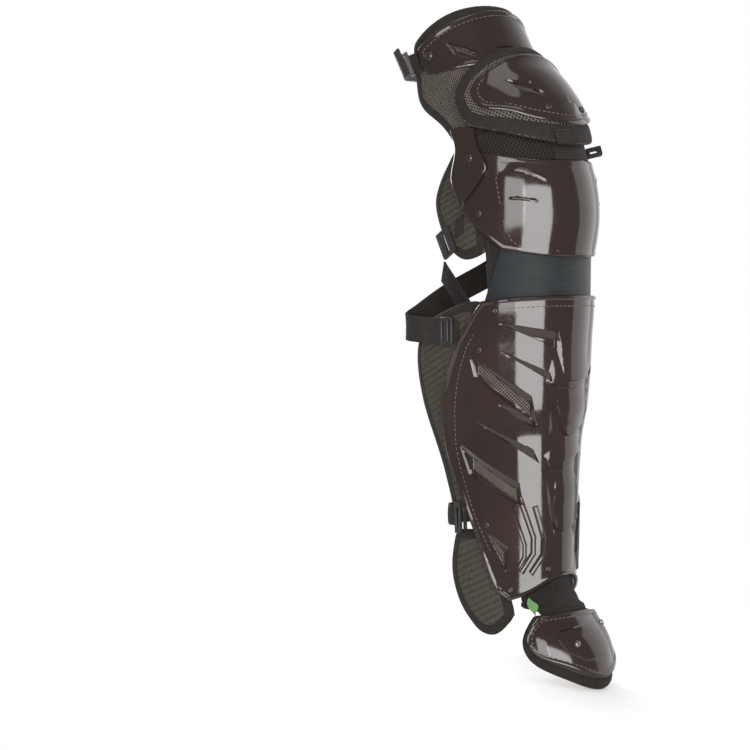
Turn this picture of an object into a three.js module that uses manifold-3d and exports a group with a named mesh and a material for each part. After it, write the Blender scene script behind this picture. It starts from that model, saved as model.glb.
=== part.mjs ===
// Catcher's leg guard for one leg, worn upright on a bent-back thigh: a thigh plate, a floating upper cup,
// a knee cap, a shin plate and a foot cap in moulded plastic, each over its own padding, with straps behind.
// The frame is in millimetres: +Z up the leg, -Y to the front, -X to the outer side where the buckles are.
// The origin is the middle of the knee. Every layer is an offset from one leg surface, so layers never cross.
import * as THREE from "three";
import Module from "manifold-3d";

const wasm = await Module();
wasm.setup();

// Driving sizes
const SHIN_LENGTH = 430;
const THIGH_LENGTH = 215;
const KNEE_HALF_WIDTH = 76;
const KNEE_DEPTH = 90;
const SIDE_REACH = 120;
const THIGH_LEAN = 30;
const SIDE_TUCK = 0.35;
const FOOT_HALF_WIDTH = 58;
const FOOT_DEPTH = 60;
const FOOT_FORWARD = 71;
const FOOT_TOP = -410;
const FOOT_LENGTH = 112;

const PAD = 8;
const SHELL = 3;
const GAP = 0.2;
const STACK = 0.75;
const PAD_TOP = -0.85;
const UNDER_PAD = -9;
const ON_PAD = -0.25;
const FOAM = 14;
const LINER = 2.5;
const WEB = 1.8;
const RIVET_RADIUS = 4;
const RIVET_HEIGHT = 2.2;

// Leg sections from the ankle up. at: share of the shin or thigh length from the knee's middle;
// lean: share of the thigh's lean; width, depth, reach: shares of the knee's width, depth and side reach.
const LEG = [
  { at: -1.12, lean: 0, width: 0.75, depth: 0.73, reach: 1 },
  { at: -1.0, lean: 0, width: 0.75, depth: 0.745, reach: 1 },
  { at: -0.93, lean: 0, width: 0.75, depth: 0.75, reach: 1 },
  { at: -0.8, lean: 0, width: 0.763, depth: 0.767, reach: 1 },
  { at: -0.7, lean: 0, width: 0.79, depth: 0.778, reach: 1 },
  { at: -0.58, lean: 0, width: 0.842, depth: 0.811, reach: 1 },
  { at: -0.49, lean: 0, width: 0.934, depth: 0.878, reach: 1 },
  { at: -0.35, lean: 0, width: 0.987, depth: 0.922, reach: 1 },
  { at: -0.23, lean: 0, width: 0.987, depth: 0.933, reach: 1 },
  { at: -0.115, lean: 0, width: 0.98, depth: 0.95, reach: 1 },
  { at: -0.045, lean: 0, width: 0.98, depth: 0.98, reach: 1 },
  { at: 0, lean: 0, width: 0.98, depth: 0.98, reach: 0.99 },
  { at: 0.14, lean: 0.33, width: 0.974, depth: 0.944, reach: 0.95 },
  { at: 0.28, lean: 0.73, width: 0.96, depth: 0.88, reach: 0.9 },
  { at: 0.42, lean: 1, width: 0.94, depth: 0.79, reach: 0.86 },
  { at: 0.56, lean: 1, width: 0.92, depth: 0.71, reach: 0.84 },
  { at: 0.75, lean: 1, width: 0.91, depth: 0.69, reach: 0.84 },
  { at: 1, lean: 1, width: 0.92, depth: 0.69, reach: 0.84 },
];

// Foot sections from the ankle down: shares of the foot piece's length, width, depth and forward push.
const FOOT = [
  { at: -1, width: 0.96, depth: 1.0, forward: 1.0 },
  { at: -0.85, width: 1, depth: 1, forward: 0.93 },
  { at: -0.67, width: 1, depth: 0.9, forward: 0.88 },
  { at: -0.45, width: 0.97, depth: 0.75, forward: 0.83 },
  { at: -0.27, width: 0.87, depth: 0.55, forward: 0.8 },
  { at: -0.13, width: 0.8, depth: 0.5, forward: 0.71 },
  { at: 0, width: 0.76, depth: 0.5, forward: 0.6 },
];

const radians = THREE.MathUtils.degToRad;
const clamp = THREE.MathUtils.clamp;
const mix = THREE.MathUtils.lerp;

// Smooth value of one column of a table at a place along its first column.
function column(table, key, name, place) {
  const last = table.length - 1;
  const at = clamp(place, table[0][key], table[last][key]);
  let i = 0;
  while (i < last - 1 && table[i + 1][key] < at) i += 1;
  const [a, b] = [table[i], table[i + 1]];
  const [before, after] = [table[Math.max(i - 1, 0)], table[Math.min(i + 2, last)]];
  const step = b[key] - a[key];
  const s = (at - a[key]) / step;
  const slopeA = ((b[name] - before[name]) / (b[key] - before[key])) * step;
  const slopeB = ((after[name] - a[name]) / (after[key] - a[key])) * step;
  const turn = s * s * (3 - 2 * s);
  return (
    mix(a[name], b[name], turn) +
    slopeA * s * (1 - s) * (1 - s) -
    slopeB * s * s * (1 - s)
  );
}

const shareUp = (height) => (height < 0 ? height / SHIN_LENGTH : height / THIGH_LENGTH);

// Middle line of the leg, stepped up the thigh along its growing lean.
const LINE_STEP = 5;
const LINE = [{ height: 0, back: 0, up: 0 }];
for (let h = 0; h < THIGH_LENGTH + LINE_STEP; h += LINE_STEP) {
  const lean = radians(THIGH_LEAN * column(LEG, "at", "lean", shareUp(h + LINE_STEP / 2)));
  const from = LINE[LINE.length - 1];
  LINE.push({
    height: h + LINE_STEP,
    back: from.back + LINE_STEP * Math.sin(lean),
    up: from.up + LINE_STEP * Math.cos(lean),
  });
}

// Outline of a section: half an ellipse in front, sides that run back and tuck in a little.
// Past the wings' edge the strap line closes behind the leg.
const WING_TURN = 0.62;
const STRAP_BACK = 0.82;
function sectionPoint(angle, width, depth, reach, closed) {
  const turned = angle > 180 ? angle - 360 : angle;
  const side = Math.sign(turned);
  const round = radians(Math.abs(turned));
  if (Math.abs(turned) <= 90) return { x: side * width * Math.sin(round), y: -depth * Math.cos(round) };
  const q = (Math.abs(turned) - 90) / 90;
  if (!closed || q < WING_TURN)
    return { x: side * width * (1 - SIDE_TUCK * q * q), y: reach * q };
  const s = ((q - WING_TURN) / (1 - WING_TURN)) * (Math.PI / 2);
  const edge = width * (1 - SIDE_TUCK * WING_TURN * WING_TURN);
  return {
    x: side * edge * Math.cos(s),
    y: mix(reach * WING_TURN, reach * STRAP_BACK, Math.sin(s)),
  };
}

function legBase(angle, height, closed) {
  const at = shareUp(height);
  const lean = radians(THIGH_LEAN * column(LEG, "at", "lean", at));
  const width = KNEE_HALF_WIDTH * column(LEG, "at", "width", at);
  const depth = KNEE_DEPTH * column(LEG, "at", "depth", at);
  const reach = SIDE_REACH * column(LEG, "at", "reach", at);
  const p = sectionPoint(angle, width, depth, reach, closed);
  const back = height < 0 ? 0 : column(LINE, "height", "back", height);
  const up = height < 0 ? height : column(LINE, "height", "up", height);
  return new THREE.Vector3(p.x, back + p.y * Math.cos(lean), up - p.y * Math.sin(lean));
}

function footBase(angle, height) {
  const at = (height - FOOT_TOP) / FOOT_LENGTH;
  const width = FOOT_HALF_WIDTH * column(FOOT, "at", "width", at);
  const depth = FOOT_DEPTH * column(FOOT, "at", "depth", at);
  const forward = FOOT_FORWARD * column(FOOT, "at", "forward", at);
  const round = radians(angle);
  return new THREE.Vector3(width * Math.sin(round), -forward - depth * Math.cos(round), height);
}

// A point at an offset outward from a base surface.
const FEEL = 0.5;
function offsetFrom(base) {
  const frameAt = (angle, height) => {
    const across = base(angle + FEEL, height).sub(base(angle - FEEL, height)).normalize();
    const up = base(angle, height + FEEL).sub(base(angle, height - FEEL)).normalize();
    const out = new THREE.Vector3().crossVectors(across, up).normalize();
    return { across, up, out, at: base(angle, height) };
  };
  const point = (angle, height, offset) => {
    const f = frameAt(angle, height);
    return f.at.addScaledVector(f.out, offset);
  };
  return { frameAt, point };
}
const leg = offsetFrom((angle, height) => legBase(angle, height, false));
const loop = offsetFrom((angle, height) => legBase(angle, height, true));
const foot = offsetFrom(footBase);

const group = new THREE.Group();
group.name = "catcher_leg_guard";

const FINISH = {
  plastic: { color: 0x2b2422, roughness: 0.2 },
  mesh: { color: 0x6d6459, roughness: 0.9 },
  binding: { color: 0x2b2a27, roughness: 0.8 },
  lining: { color: 0xb5a9a4, roughness: 0.95 },
  suede: { color: 0x6f655f, roughness: 1 },
  satin: { color: 0x1b1a1a, roughness: 0.6 },
  elastic: { color: 0x2f3336, roughness: 0.5 },
  webbing: { color: 0x24221f, roughness: 0.9 },
  patch: { color: 0xd08a6c, roughness: 0.8 },
  green: { color: 0x8fae5a, roughness: 0.8 },
  metal: { color: 0x6a6664, roughness: 0.3, metalness: 1 },
};

function add(name, finish, geometry) {
  const mesh = new THREE.Mesh(geometry, new THREE.MeshStandardMaterial(FINISH[finish]));
  mesh.name = name;
  group.add(mesh);
  return mesh;
}

// One closed body between an inner and an outer grid of points.
function gridBody(cols, rows, at) {
  const points = [];
  for (const side of [0, 1])
    for (let j = 0; j <= rows; j += 1)
      for (let i = 0; i <= cols; i += 1) points.push(...at(i / cols, j / rows, side).toArray());
  const stride = cols + 1;
  const half = stride * (rows + 1);
  const faces = [];
  const quad = (a, b, c, d) => faces.push(a, b, c, a, c, d);
  for (let j = 0; j < rows; j += 1)
    for (let i = 0; i < cols; i += 1) {
      const k = j * stride + i;
      quad(half + k, half + k + 1, half + k + stride + 1, half + k + stride);
      quad(k, k + stride, k + stride + 1, k + 1);
    }
  for (let i = 0; i < cols; i += 1) {
    const top = rows * stride + i;
    quad(i, i + 1, half + i + 1, half + i);
    quad(top + 1, top, half + top, half + top + 1);
  }
  for (let j = 0; j < rows; j += 1) {
    const k = j * stride;
    const r = k + cols;
    quad(k + stride, k, half + k, half + k + stride);
    quad(r, r + stride, half + r + stride, half + r);
  }
  const geometry = new THREE.BufferGeometry();
  geometry.setAttribute("position", new THREE.Float32BufferAttribute(points, 3));
  geometry.setIndex(faces);
  return geometry;
}

// A panel's place: sides rows give its left and right angle up the panel (v from 0 to 1),
// ends rows give its bottom and top height across it (u from 0 to 1).
function panelPlace(shape, u, v) {
  const left = column(shape.sides, "v", "from", v);
  const right = column(shape.sides, "v", "to", v);
  const bottom = column(shape.ends, "u", "bottom", u);
  const top = column(shape.ends, "u", "top", u);
  return { angle: mix(left, right, u), height: mix(bottom, top, v) };
}

// Even steps with short ones at both ends, so that a rolled edge costs few faces.
function pressed(s, count, edge) {
  const i = Math.round(s * count);
  if (i === 0 || i === count) return i / count;
  return mix(edge, 1 - edge, (i - 1) / (count - 2));
}

const ROLL_SHARE = 0.04;
const ROLL_DEPTH = 0.3;
function panel(name, finish, shape) {
  const surface = shape.surface ?? leg;
  const flip = shape.mirrored ? -1 : 1;
  const at = (s, r, side) => {
    const u0 = shape.rolled ? pressed(s, shape.cols, ROLL_SHARE) : s;
    const v = shape.rolled ? pressed(r, shape.rows, ROLL_SHARE) : r;
    const u = shape.mirrored ? 1 - u0 : u0;
    const place = panelPlace(shape, u, v);
    const bulge = shape.bulge ? shape.bulge(place.angle, place.height) : 0;
    const low = shape.low + bulge;
    const high = shape.high + bulge;
    const onEdge = u * (1 - u) * v * (1 - v) === 0;
    const roll = shape.rolled && onEdge ? ROLL_DEPTH * (high - low) : 0;
    const offset = side ? high - roll : low + roll;
    return surface.point(flip * place.angle, place.height, offset);
  };
  return add(name, finish, gridBody(shape.cols, shape.rows, at));
}

// The same panel on the outer side and, mirrored, on the inner side of the leg.
function pair(name, finish, shape) {
  panel(name + "_outer", finish, shape);
  panel(name + "_inner", finish, { ...shape, mirrored: true });
}

function asSolid(geometry) {
  return new wasm.Manifold(
    new wasm.Mesh({
      numProp: 3,
      vertProperties: new Float32Array(geometry.getAttribute("position").array),
      triVerts: new Uint32Array(geometry.index.array),
    }),
  );
}

function asGeometry(solid) {
  const made = solid.getMesh();
  const geometry = new THREE.BufferGeometry();
  geometry.setAttribute("position", new THREE.Float32BufferAttribute(made.vertProperties, 3));
  geometry.setIndex(Array.from(made.triVerts));
  return geometry;
}

// Padding and shells of the thigh
panel("thigh_pad", "lining", {
  sides: [
    { v: 0, from: -97, to: 97 },
    { v: 0.25, from: -106, to: 106 },
    { v: 0.55, from: -124, to: 124 },
    { v: 0.8, from: -112, to: 112 },
    { v: 1, from: -101, to: 101 },
  ],
  ends: [
    { u: 0, bottom: 65.3, top: 197 },
    { u: 0.25, bottom: 65.3, top: 205 },
    { u: 0.5, bottom: 65.3, top: 205 },
    { u: 0.75, bottom: 65.3, top: 205 },
    { u: 1, bottom: 65.3, top: 197 },
  ],
  low: -PAD,
  high: PAD_TOP,
  rolled: true,
  cols: 16,
  rows: 7,
});
panel("thigh_plate", "plastic", {
  sides: [
    { v: 0, from: -86, to: 86 },
    { v: 0.35, from: -97, to: 97 },
    { v: 1, from: -94, to: 94 },
  ],
  ends: [
    { u: 0, bottom: 148, top: 186 },
    { u: 0.25, bottom: 134, top: 193 },
    { u: 0.5, bottom: 132, top: 196 },
    { u: 0.75, bottom: 134, top: 193 },
    { u: 1, bottom: 148, top: 186 },
  ],
  low: GAP,
  high: GAP + SHELL,
  cols: 16,
  rows: 4,
});

// Floating upper cup over the top of the knee: a padded dish with a shell on it
const CUP_LOW = 4.4;
const CUP_PAD = 6;
const CUP_STAND = 4;
const CUP_MIDDLE = { height: 84, half_height: 66, half_angle: 90 };
const cupBulge = (angle, height) => {
  const across = angle / CUP_MIDDLE.half_angle;
  const along = (height - CUP_MIDDLE.height) / CUP_MIDDLE.half_height;
  return CUP_STAND * Math.max(0, 1 - across * across - along * along);
};
const CUP = {
  sides: [
    { v: 0, from: -56, to: 56 },
    { v: 0.18, from: -72, to: 72 },
    { v: 0.5, from: -77, to: 77 },
    { v: 0.8, from: -70, to: 70 },
    { v: 1, from: -50, to: 50 },
  ],
  ends: [
    { u: 0, bottom: 57, top: 132 },
    { u: 0.2, bottom: 45, top: 140 },
    { u: 0.5, bottom: 39, top: 144 },
    { u: 0.8, bottom: 45, top: 140 },
    { u: 1, bottom: 57, top: 132 },
  ],
};
panel("upper_cup_pad", "satin", {
  ...CUP,
  low: CUP_LOW,
  high: CUP_LOW + CUP_PAD,
  bulge: cupBulge,
  rolled: true,
  cols: 16,
  rows: 10,
});
panel("upper_cup_shell", "plastic", {
  sides: CUP.sides.map((row) => ({ v: row.v, from: row.from * 0.8, to: row.to * 0.8 })),
  ends: CUP.ends.map((row) => ({ u: row.u, bottom: row.bottom + 11, top: row.top - 15 })),
  low: CUP_LOW + CUP_PAD + STACK,
  high: CUP_LOW + CUP_PAD + STACK + SHELL,
  bulge: cupBulge,
  cols: 14,
  rows: 8,
});

// Knee
const CAP_LOW = 2.4;
const SIDE_PLATE = 2.5;
panel("knee_cap", "plastic", {
  sides: [
    { v: 0, from: -60, to: 60 },
    { v: 0.2, from: -76, to: 76 },
    { v: 0.45, from: -91, to: 91 },
    { v: 0.6, from: -88, to: 88 },
    { v: 0.8, from: -82, to: 82 },
    { v: 1, from: -76, to: 76 },
  ],
  ends: [
    { u: 0, bottom: -50, top: 46 },
    { u: 0.25, bottom: -56, top: 32 },
    { u: 0.5, bottom: -57, top: 29 },
    { u: 0.75, bottom: -56, top: 32 },
    { u: 1, bottom: -50, top: 46 },
  ],
  low: CAP_LOW,
  high: CAP_LOW + SHELL,
  cols: 18,
  rows: 9,
});
pair("knee_side_plate", "plastic", {
  sides: [
    { v: 0, from: -94, to: -89 },
    { v: 0.3, from: -101, to: -75 },
    { v: 0.45, from: -100, to: -69 },
    { v: 0.75, from: -91, to: -73 },
    { v: 1, from: -91, to: -71 },
  ],
  ends: [
    { u: 0, bottom: -2, top: 80 },
    { u: 0.5, bottom: -4, top: 76 },
    { u: 1, bottom: -1, top: 68 },
  ],
  low: CAP_LOW + SHELL + STACK,
  high: CAP_LOW + SHELL + STACK + SIDE_PLATE,
  cols: 4,
  rows: 8,
});
panel("knee_pad", "lining", {
  sides: [
    { v: 0, from: -72, to: 72 },
    { v: 0.35, from: -75, to: 75 },
    { v: 1, from: -83, to: 83 },
  ],
  ends: [
    { u: 0, bottom: -100, top: 64.5 },
    { u: 0.5, bottom: -96, top: 64.5 },
    { u: 1, bottom: -100, top: 64.5 },
  ],
  low: -PAD,
  high: PAD_TOP,
  rolled: true,
  cols: 16,
  rows: 9,
});
pair("knee_wing", "mesh", {
  sides: [
    { v: 0, from: -113, to: -74.8 },
    { v: 0.25, from: -126, to: -76.6 },
    { v: 0.5, from: -132, to: -79.2 },
    { v: 0.8, from: -122, to: -81.8 },
    { v: 1, from: -103, to: -83.5 },
  ],
  ends: [
    { u: 0, bottom: -48, top: 60 },
    { u: 0.45, bottom: -60, top: 62 },
    { u: 1, bottom: -53, top: 61 },
  ],
  low: -PAD,
  high: PAD_TOP,
  rolled: true,
  cols: 6,
  rows: 8,
});
panel("knee_foam", "satin", {
  sides: [
    { v: 0, from: -42, to: 42 },
    { v: 0.5, from: -62, to: 62 },
    { v: 1, from: -52, to: 52 },
  ],
  ends: [
    { u: 0, bottom: -50, top: 44 },
    { u: 0.5, bottom: -62, top: 58 },
    { u: 1, bottom: -50, top: 44 },
  ],
  low: -PAD - FOAM,
  high: UNDER_PAD,
  rolled: true,
  cols: 10,
  rows: 7,
});
panel("knee_patch", "patch", {
  sides: [
    { v: 0, from: -15, to: 15 },
    { v: 1, from: -24, to: 24 },
  ],
  ends: [
    { u: 0, bottom: -26, top: 22 },
    { u: 1, bottom: -26, top: 22 },
  ],
  low: -PAD - FOAM - 2.2,
  high: -PAD - FOAM - 1,
  cols: 4,
  rows: 4,
});
panel("knee_band", "elastic", {
  sides: [
    { v: 0, from: -74, to: 74 },
    { v: 1, from: -62, to: 62 },
  ],
  ends: [
    { u: 0, bottom: -106, top: -50 },
    { u: 1, bottom: -106, top: -50 },
  ],
  low: -0.2,
  high: 1.2,
  cols: 14,
  rows: 3,
});

// Shin
const SHIN_SIDES = [
  { v: 0, from: -57, to: 57 },
  { v: 0.035, from: -69, to: 69 },
  { v: 0.16, from: -84, to: 84 },
  { v: 0.32, from: -103, to: 103 },
  { v: 0.47, from: -119, to: 119 },
  { v: 0.545, from: -123, to: 123 },
  { v: 0.67, from: -120, to: 120 },
  { v: 0.84, from: -100, to: 100 },
  { v: 0.93, from: -86, to: 86 },
  { v: 1, from: -74, to: 74 },
];
const SHIN_ENDS = [
  { u: 0, bottom: -421, top: -104 },
  { u: 0.17, bottom: -413, top: -100 },
  { u: 0.35, bottom: -400, top: -98 },
  { u: 0.5, bottom: -395, top: -98 },
  { u: 0.65, bottom: -396, top: -98 },
  { u: 0.83, bottom: -408, top: -100 },
  { u: 1, bottom: -420, top: -104 },
];
const SHIN_LIFT = 2.2;
const shinLift = (v) => SHIN_LIFT * clamp((v - 0.9) / 0.07, 0, 1);
// Vents, on the outer side: each is a thin opening, given by its corners as angles and heights.
const VENTS = [
  { left: -79, leftTop: -168, leftLow: -181, right: -38, rightTop: -212, rightLow: -223 },
  { left: -92, leftTop: -270, leftLow: -283, right: -50, rightTop: -303, rightLow: -313 },
  { left: -77, leftTop: -350, leftLow: -353, right: -62, rightTop: -368, rightLow: -384 },
];
const shinShell = gridBody(18, 14, (u, v, side) => {
  const place = panelPlace({ sides: SHIN_SIDES, ends: SHIN_ENDS }, u, v);
  return leg.point(place.angle, place.height, GAP + shinLift(v) + side * SHELL);
});
const VENT_CUT = 6;
let shinSolid = asSolid(shinShell);
for (const vent of VENTS)
  for (const flip of [1, -1]) {
    const cutter = gridBody(4, 1, (u, v, side) => {
      const across = flip > 0 ? u : 1 - u;
      const angle = mix(vent.left, vent.right, across);
      const low = mix(vent.leftLow, vent.rightLow, across);
      const top = mix(vent.leftTop, vent.rightTop, across);
      return leg.point(flip * angle, mix(low, top, v), -VENT_CUT + side * 2 * VENT_CUT);
    });
    shinSolid = shinSolid.subtract(asSolid(cutter));
  }
add("shin_plate", "plastic", asGeometry(shinSolid));

panel("shin_pad", "mesh", {
  sides: [
    { v: 0, from: -57, to: 57 },
    { v: 0.2, from: -60, to: 60 },
    { v: 0.3, from: -78, to: 78 },
    { v: 0.6, from: -88, to: 88 },
    { v: 1, from: -76, to: 76 },
  ],
  ends: [
    { u: 0, bottom: -412, top: -106 },
    { u: 0.5, bottom: -386, top: -104 },
    { u: 1, bottom: -412, top: -106 },
  ],
  low: -PAD,
  high: PAD_TOP,
  rolled: true,
  cols: 14,
  rows: 12,
});
pair("calf_wing", "mesh", {
  sides: [
    { v: 0, from: -117, to: -80 },
    { v: 0.25, from: -131, to: -87.6 },
    { v: 0.5, from: -150, to: -89.5 },
    { v: 0.8, from: -160, to: -84.4 },
    { v: 0.94, from: -140, to: -79 },
    { v: 1, from: -112, to: -77 },
  ],
  ends: [
    { u: 0, bottom: -342, top: -112 },
    { u: 0.5, bottom: -338, top: -106 },
    { u: 1, bottom: -322, top: -104 },
  ],
  low: -PAD,
  high: PAD_TOP,
  rolled: true,
  cols: 8,
  rows: 12,
});
panel("shin_liner", "suede", {
  sides: [
    { v: 0, from: -20, to: 20 },
    { v: 0.35, from: -22, to: 22 },
    { v: 0.7, from: -40, to: 40 },
    { v: 1, from: -62, to: 62 },
  ],
  ends: [
    { u: 0, bottom: -385, top: -118 },
    { u: 0.5, bottom: -386, top: -150 },
    { u: 1, bottom: -385, top: -118 },
  ],
  low: UNDER_PAD - LINER,
  high: UNDER_PAD,
  cols: 8,
  rows: 8,
});
panel("liner_label", "satin", {
  sides: [
    { v: 0, from: -16, to: 16 },
    { v: 1, from: -16, to: 16 },
  ],
  ends: [
    { u: 0, bottom: -262, top: -224 },
    { u: 1, bottom: -262, top: -224 },
  ],
  low: UNDER_PAD - LINER - 2,
  high: UNDER_PAD - LINER - 0.8,
  cols: 3,
  rows: 2,
});
pair("ankle_lobe", "mesh", {
  sides: [
    { v: 0, from: -92, to: -52 },
    { v: 0.25, from: -113, to: -58.8 },
    { v: 0.6, from: -124, to: -60 },
    { v: 1, from: -118, to: -63 },
  ],
  ends: [
    { u: 0, bottom: -456, top: -350 },
    { u: 0.5, bottom: -458, top: -348 },
    { u: 1, bottom: -437, top: -345 },
  ],
  low: -PAD,
  high: PAD_TOP - 0.25,
  rolled: true,
  cols: 6,
  rows: 8,
});

// Foot
const FOOT_SHAPE = {
  sides: [
    { v: 0, from: -48, to: 48 },
    { v: 0.18, from: -74, to: 74 },
    { v: 0.45, from: -88, to: 88 },
    { v: 0.75, from: -84, to: 84 },
    { v: 1, from: -66, to: 66 },
  ],
  ends: [
    { u: 0, bottom: FOOT_TOP - 84, top: FOOT_TOP - 24 },
    { u: 0.5, bottom: FOOT_TOP - 99, top: FOOT_TOP - 22 },
    { u: 1, bottom: FOOT_TOP - 84, top: FOOT_TOP - 24 },
  ],
};
const CAP_SEAT = -0.2;
const CAP_STAND = 5;
const CAP_MIDDLE = { height: FOOT_TOP - 58, half_height: 46, half_angle: 84 };
const capBulge = (angle, height) => {
  const across = angle / CAP_MIDDLE.half_angle;
  const along = (height - CAP_MIDDLE.height) / CAP_MIDDLE.half_height;
  return CAP_STAND * Math.max(0, 1 - across * across - along * along);
};
panel("foot_pad", "lining", {
  ...FOOT_SHAPE,
  surface: foot,
  low: -PAD,
  high: PAD_TOP,
  rolled: true,
  cols: 12,
  rows: 8,
});
panel("foot_cap", "plastic", {
  sides: FOOT_SHAPE.sides.map((row) => ({ v: row.v, from: row.from * 0.86, to: row.to * 0.86 })),
  ends: FOOT_SHAPE.ends.map((row) => ({ u: row.u, bottom: row.bottom + 9, top: row.top - 2 })),
  surface: foot,
  low: CAP_SEAT,
  high: CAP_SEAT + SHELL,
  bulge: capBulge,
  cols: 12,
  rows: 7,
});
// Mesh gusset: it hangs inside the shin plate's lower edge and runs forward to the foot pad.
const GUSSET = 3;
const GUSSET_SPREAD = 48;
const GUSSET_FOOT = FOOT_TOP - 21.5;
const TUCK = 11;
const GUSSET_TOP = -0.6;
add(
  "foot_gusset",
  "mesh",
  gridBody(10, 5, (u, v, side) => {
    const angle = mix(-GUSSET_SPREAD, GUSSET_SPREAD, u);
    const edge = column(SHIN_ENDS, "u", "bottom", u);
    const hang = clamp((v - 0.6) / 0.4, 0, 1);
    const depth = GUSSET_TOP - GUSSET + side * GUSSET;
    const high = leg.point(angle * 0.95, edge - 6 + hang * TUCK, depth);
    const low = foot.point(angle, GUSSET_FOOT + 2.5 * Math.abs(2 * u - 1), depth);
    return low.lerp(high, clamp(v / 0.6, 0, 1));
  }),
);

// A flat strap along a curve: its width lies along the leg, its thickness across.
function strap(name, finish, points, width, options = {}) {
  const curve = new THREE.CatmullRomCurve3(points, false, "centripetal");
  const steps = options.steps ?? 12;
  const thick = options.thick ?? WEB;
  const lean = radians(options.lean ?? 0);
  const up = new THREE.Vector3(0, Math.sin(lean), Math.cos(lean));
  const at = (u, v, side) => {
    const along = curve.getTangentAt(u);
    const broad = up.clone().addScaledVector(along, -up.dot(along)).normalize();
    const out = new THREE.Vector3().crossVectors(along, broad).normalize();
    return curve.getPointAt(u).addScaledVector(broad, (v - 0.5) * width).addScaledVector(out, side * thick);
  };
  return add(name, finish, gridBody(steps, 1, at));
}
const along = (surface, offset, stops) => stops.map((s) => surface.point(s.angle, s.height, offset));

// A strap end or a strip that lies on the leg surface, given by its end angles, the smaller first,
// and its middle heights.
function strip(name, finish, shape) {
  const half = shape.width / 2;
  const at = (u, v, side) => {
    const angle = mix(shape.from.angle, shape.to.angle, u);
    const height = mix(shape.from.height, shape.to.height, u) + mix(-half, half, v);
    return (shape.surface ?? leg).point(angle, height, shape.low + side * (shape.thick ?? WEB));
  };
  return add(name, finish, gridBody(shape.cols ?? 3, shape.rows ?? 1, at));
}

// A rectangular ring that lies on the leg surface, or stands out from it: a flat block with slots cut
// through it. shift moves it along its width.
function ring(name, finish, shape) {
  const frame = leg.frameAt(shape.at.angle, shape.at.height);
  const up = new THREE.Vector3().crossVectors(frame.out, frame.across).normalize();
  const turn = radians(shape.turn ?? 0);
  const flat = shape.standing ? frame.out : frame.across;
  const face = shape.standing ? frame.across.clone().negate() : frame.out;
  const side = flat.clone().multiplyScalar(Math.cos(turn)).addScaledVector(up, Math.sin(turn));
  const rise = up.clone().multiplyScalar(Math.cos(turn)).addScaledVector(flat, -Math.sin(turn));
  const block = (left, right, bottom, top, low, high) =>
    asSolid(
      gridBody(1, 1, (u, v, level) =>
        frame.at
          .clone()
          .addScaledVector(side, mix(left, right, u))
          .addScaledVector(rise, mix(bottom, top, v))
          .addScaledVector(face, level ? high : low),
      ),
    );
  const [w, h] = [shape.width / 2, shape.height / 2];
  const shift = shape.shift ?? 0;
  const high = shape.low + shape.thick;
  let solid = block(shift - w, shift + w, -h, h, shape.low, high);
  for (const slot of shape.slots)
    solid = solid.subtract(
      block(shift + slot.left, shift + slot.right, slot.bottom, slot.top, shape.low - 1, high + 1),
    );
  return add(name, finish, asGeometry(solid));
}

// Rivets: low domes seated on the shells
const SEAT = 0.45;
function rivet(name, finish, surface, spot, offset, size = 1) {
  const geometry = new THREE.CylinderGeometry(
    RIVET_RADIUS * 0.6 * size, RIVET_RADIUS * size, RIVET_HEIGHT * size, 8,
  );
  const frame = surface.frameAt(spot.angle, spot.height);
  geometry.translate(0, (RIVET_HEIGHT * size) / 2 + offset, 0);
  geometry.applyQuaternion(new THREE.Quaternion().setFromUnitVectors(new THREE.Vector3(0, 1, 0), frame.out));
  geometry.translate(frame.at.x, frame.at.y, frame.at.z);
  return add(name, finish, geometry);
}
const PLATE_TOP = GAP + SHELL + SEAT;
const CAP_TOP = CAP_LOW + SHELL + SEAT;
const SIDE_TOP = CAP_LOW + SHELL + STACK + SIDE_PLATE + SEAT;
const CUP_TOP = CUP_LOW + CUP_PAD + STACK + SHELL + SEAT;
const RIVETS = [
  { name: "thigh_rivet", angle: -84, height: 170, offset: PLATE_TOP, size: 1.4 },
  { name: "knee_side_rivet", angle: -80, height: 42, offset: SIDE_TOP, size: 1.25 },
  { name: "knee_low_rivet", angle: -77, height: -12, offset: CAP_TOP, size: 1.15 },
  { name: "shin_top_rivet", angle: -64, height: -114, offset: PLATE_TOP + 1.3 },
  { name: "shin_side_rivet", angle: -77, height: -155, offset: PLATE_TOP },
  { name: "shin_low_rivet", angle: -78, height: -341, offset: PLATE_TOP },
  { name: "shin_tip_rivet", angle: -55.5, height: -409, offset: PLATE_TOP },
  { name: "cup_rivet", angle: -17, height: 63, offset: CUP_TOP + CUP_STAND * 0.86, size: 1.1 },
];
for (const spot of RIVETS) {
  rivet(spot.name + "_outer", "plastic", leg, spot, spot.offset, spot.size);
  rivet(spot.name + "_inner", "plastic", leg, { ...spot, angle: -spot.angle }, spot.offset, spot.size);
}
rivet("shin_foot_rivet", "plastic", leg, { angle: -20, height: -387 }, PLATE_TOP);
const FOOT_SNAPS = [
  { name: "foot_snap_front", angle: -22, height: FOOT_TOP - 56 },
  { name: "foot_snap_side", angle: 36, height: FOOT_TOP - 40 },
];
for (const spot of FOOT_SNAPS)
  rivet(spot.name, "metal", foot, spot, CAP_SEAT + SHELL + SEAT + capBulge(spot.angle, spot.height));
rivet("lobe_snap", "metal", leg, { angle: -104, height: -425 }, -PAD - RIVET_HEIGHT - 0.5);

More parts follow.
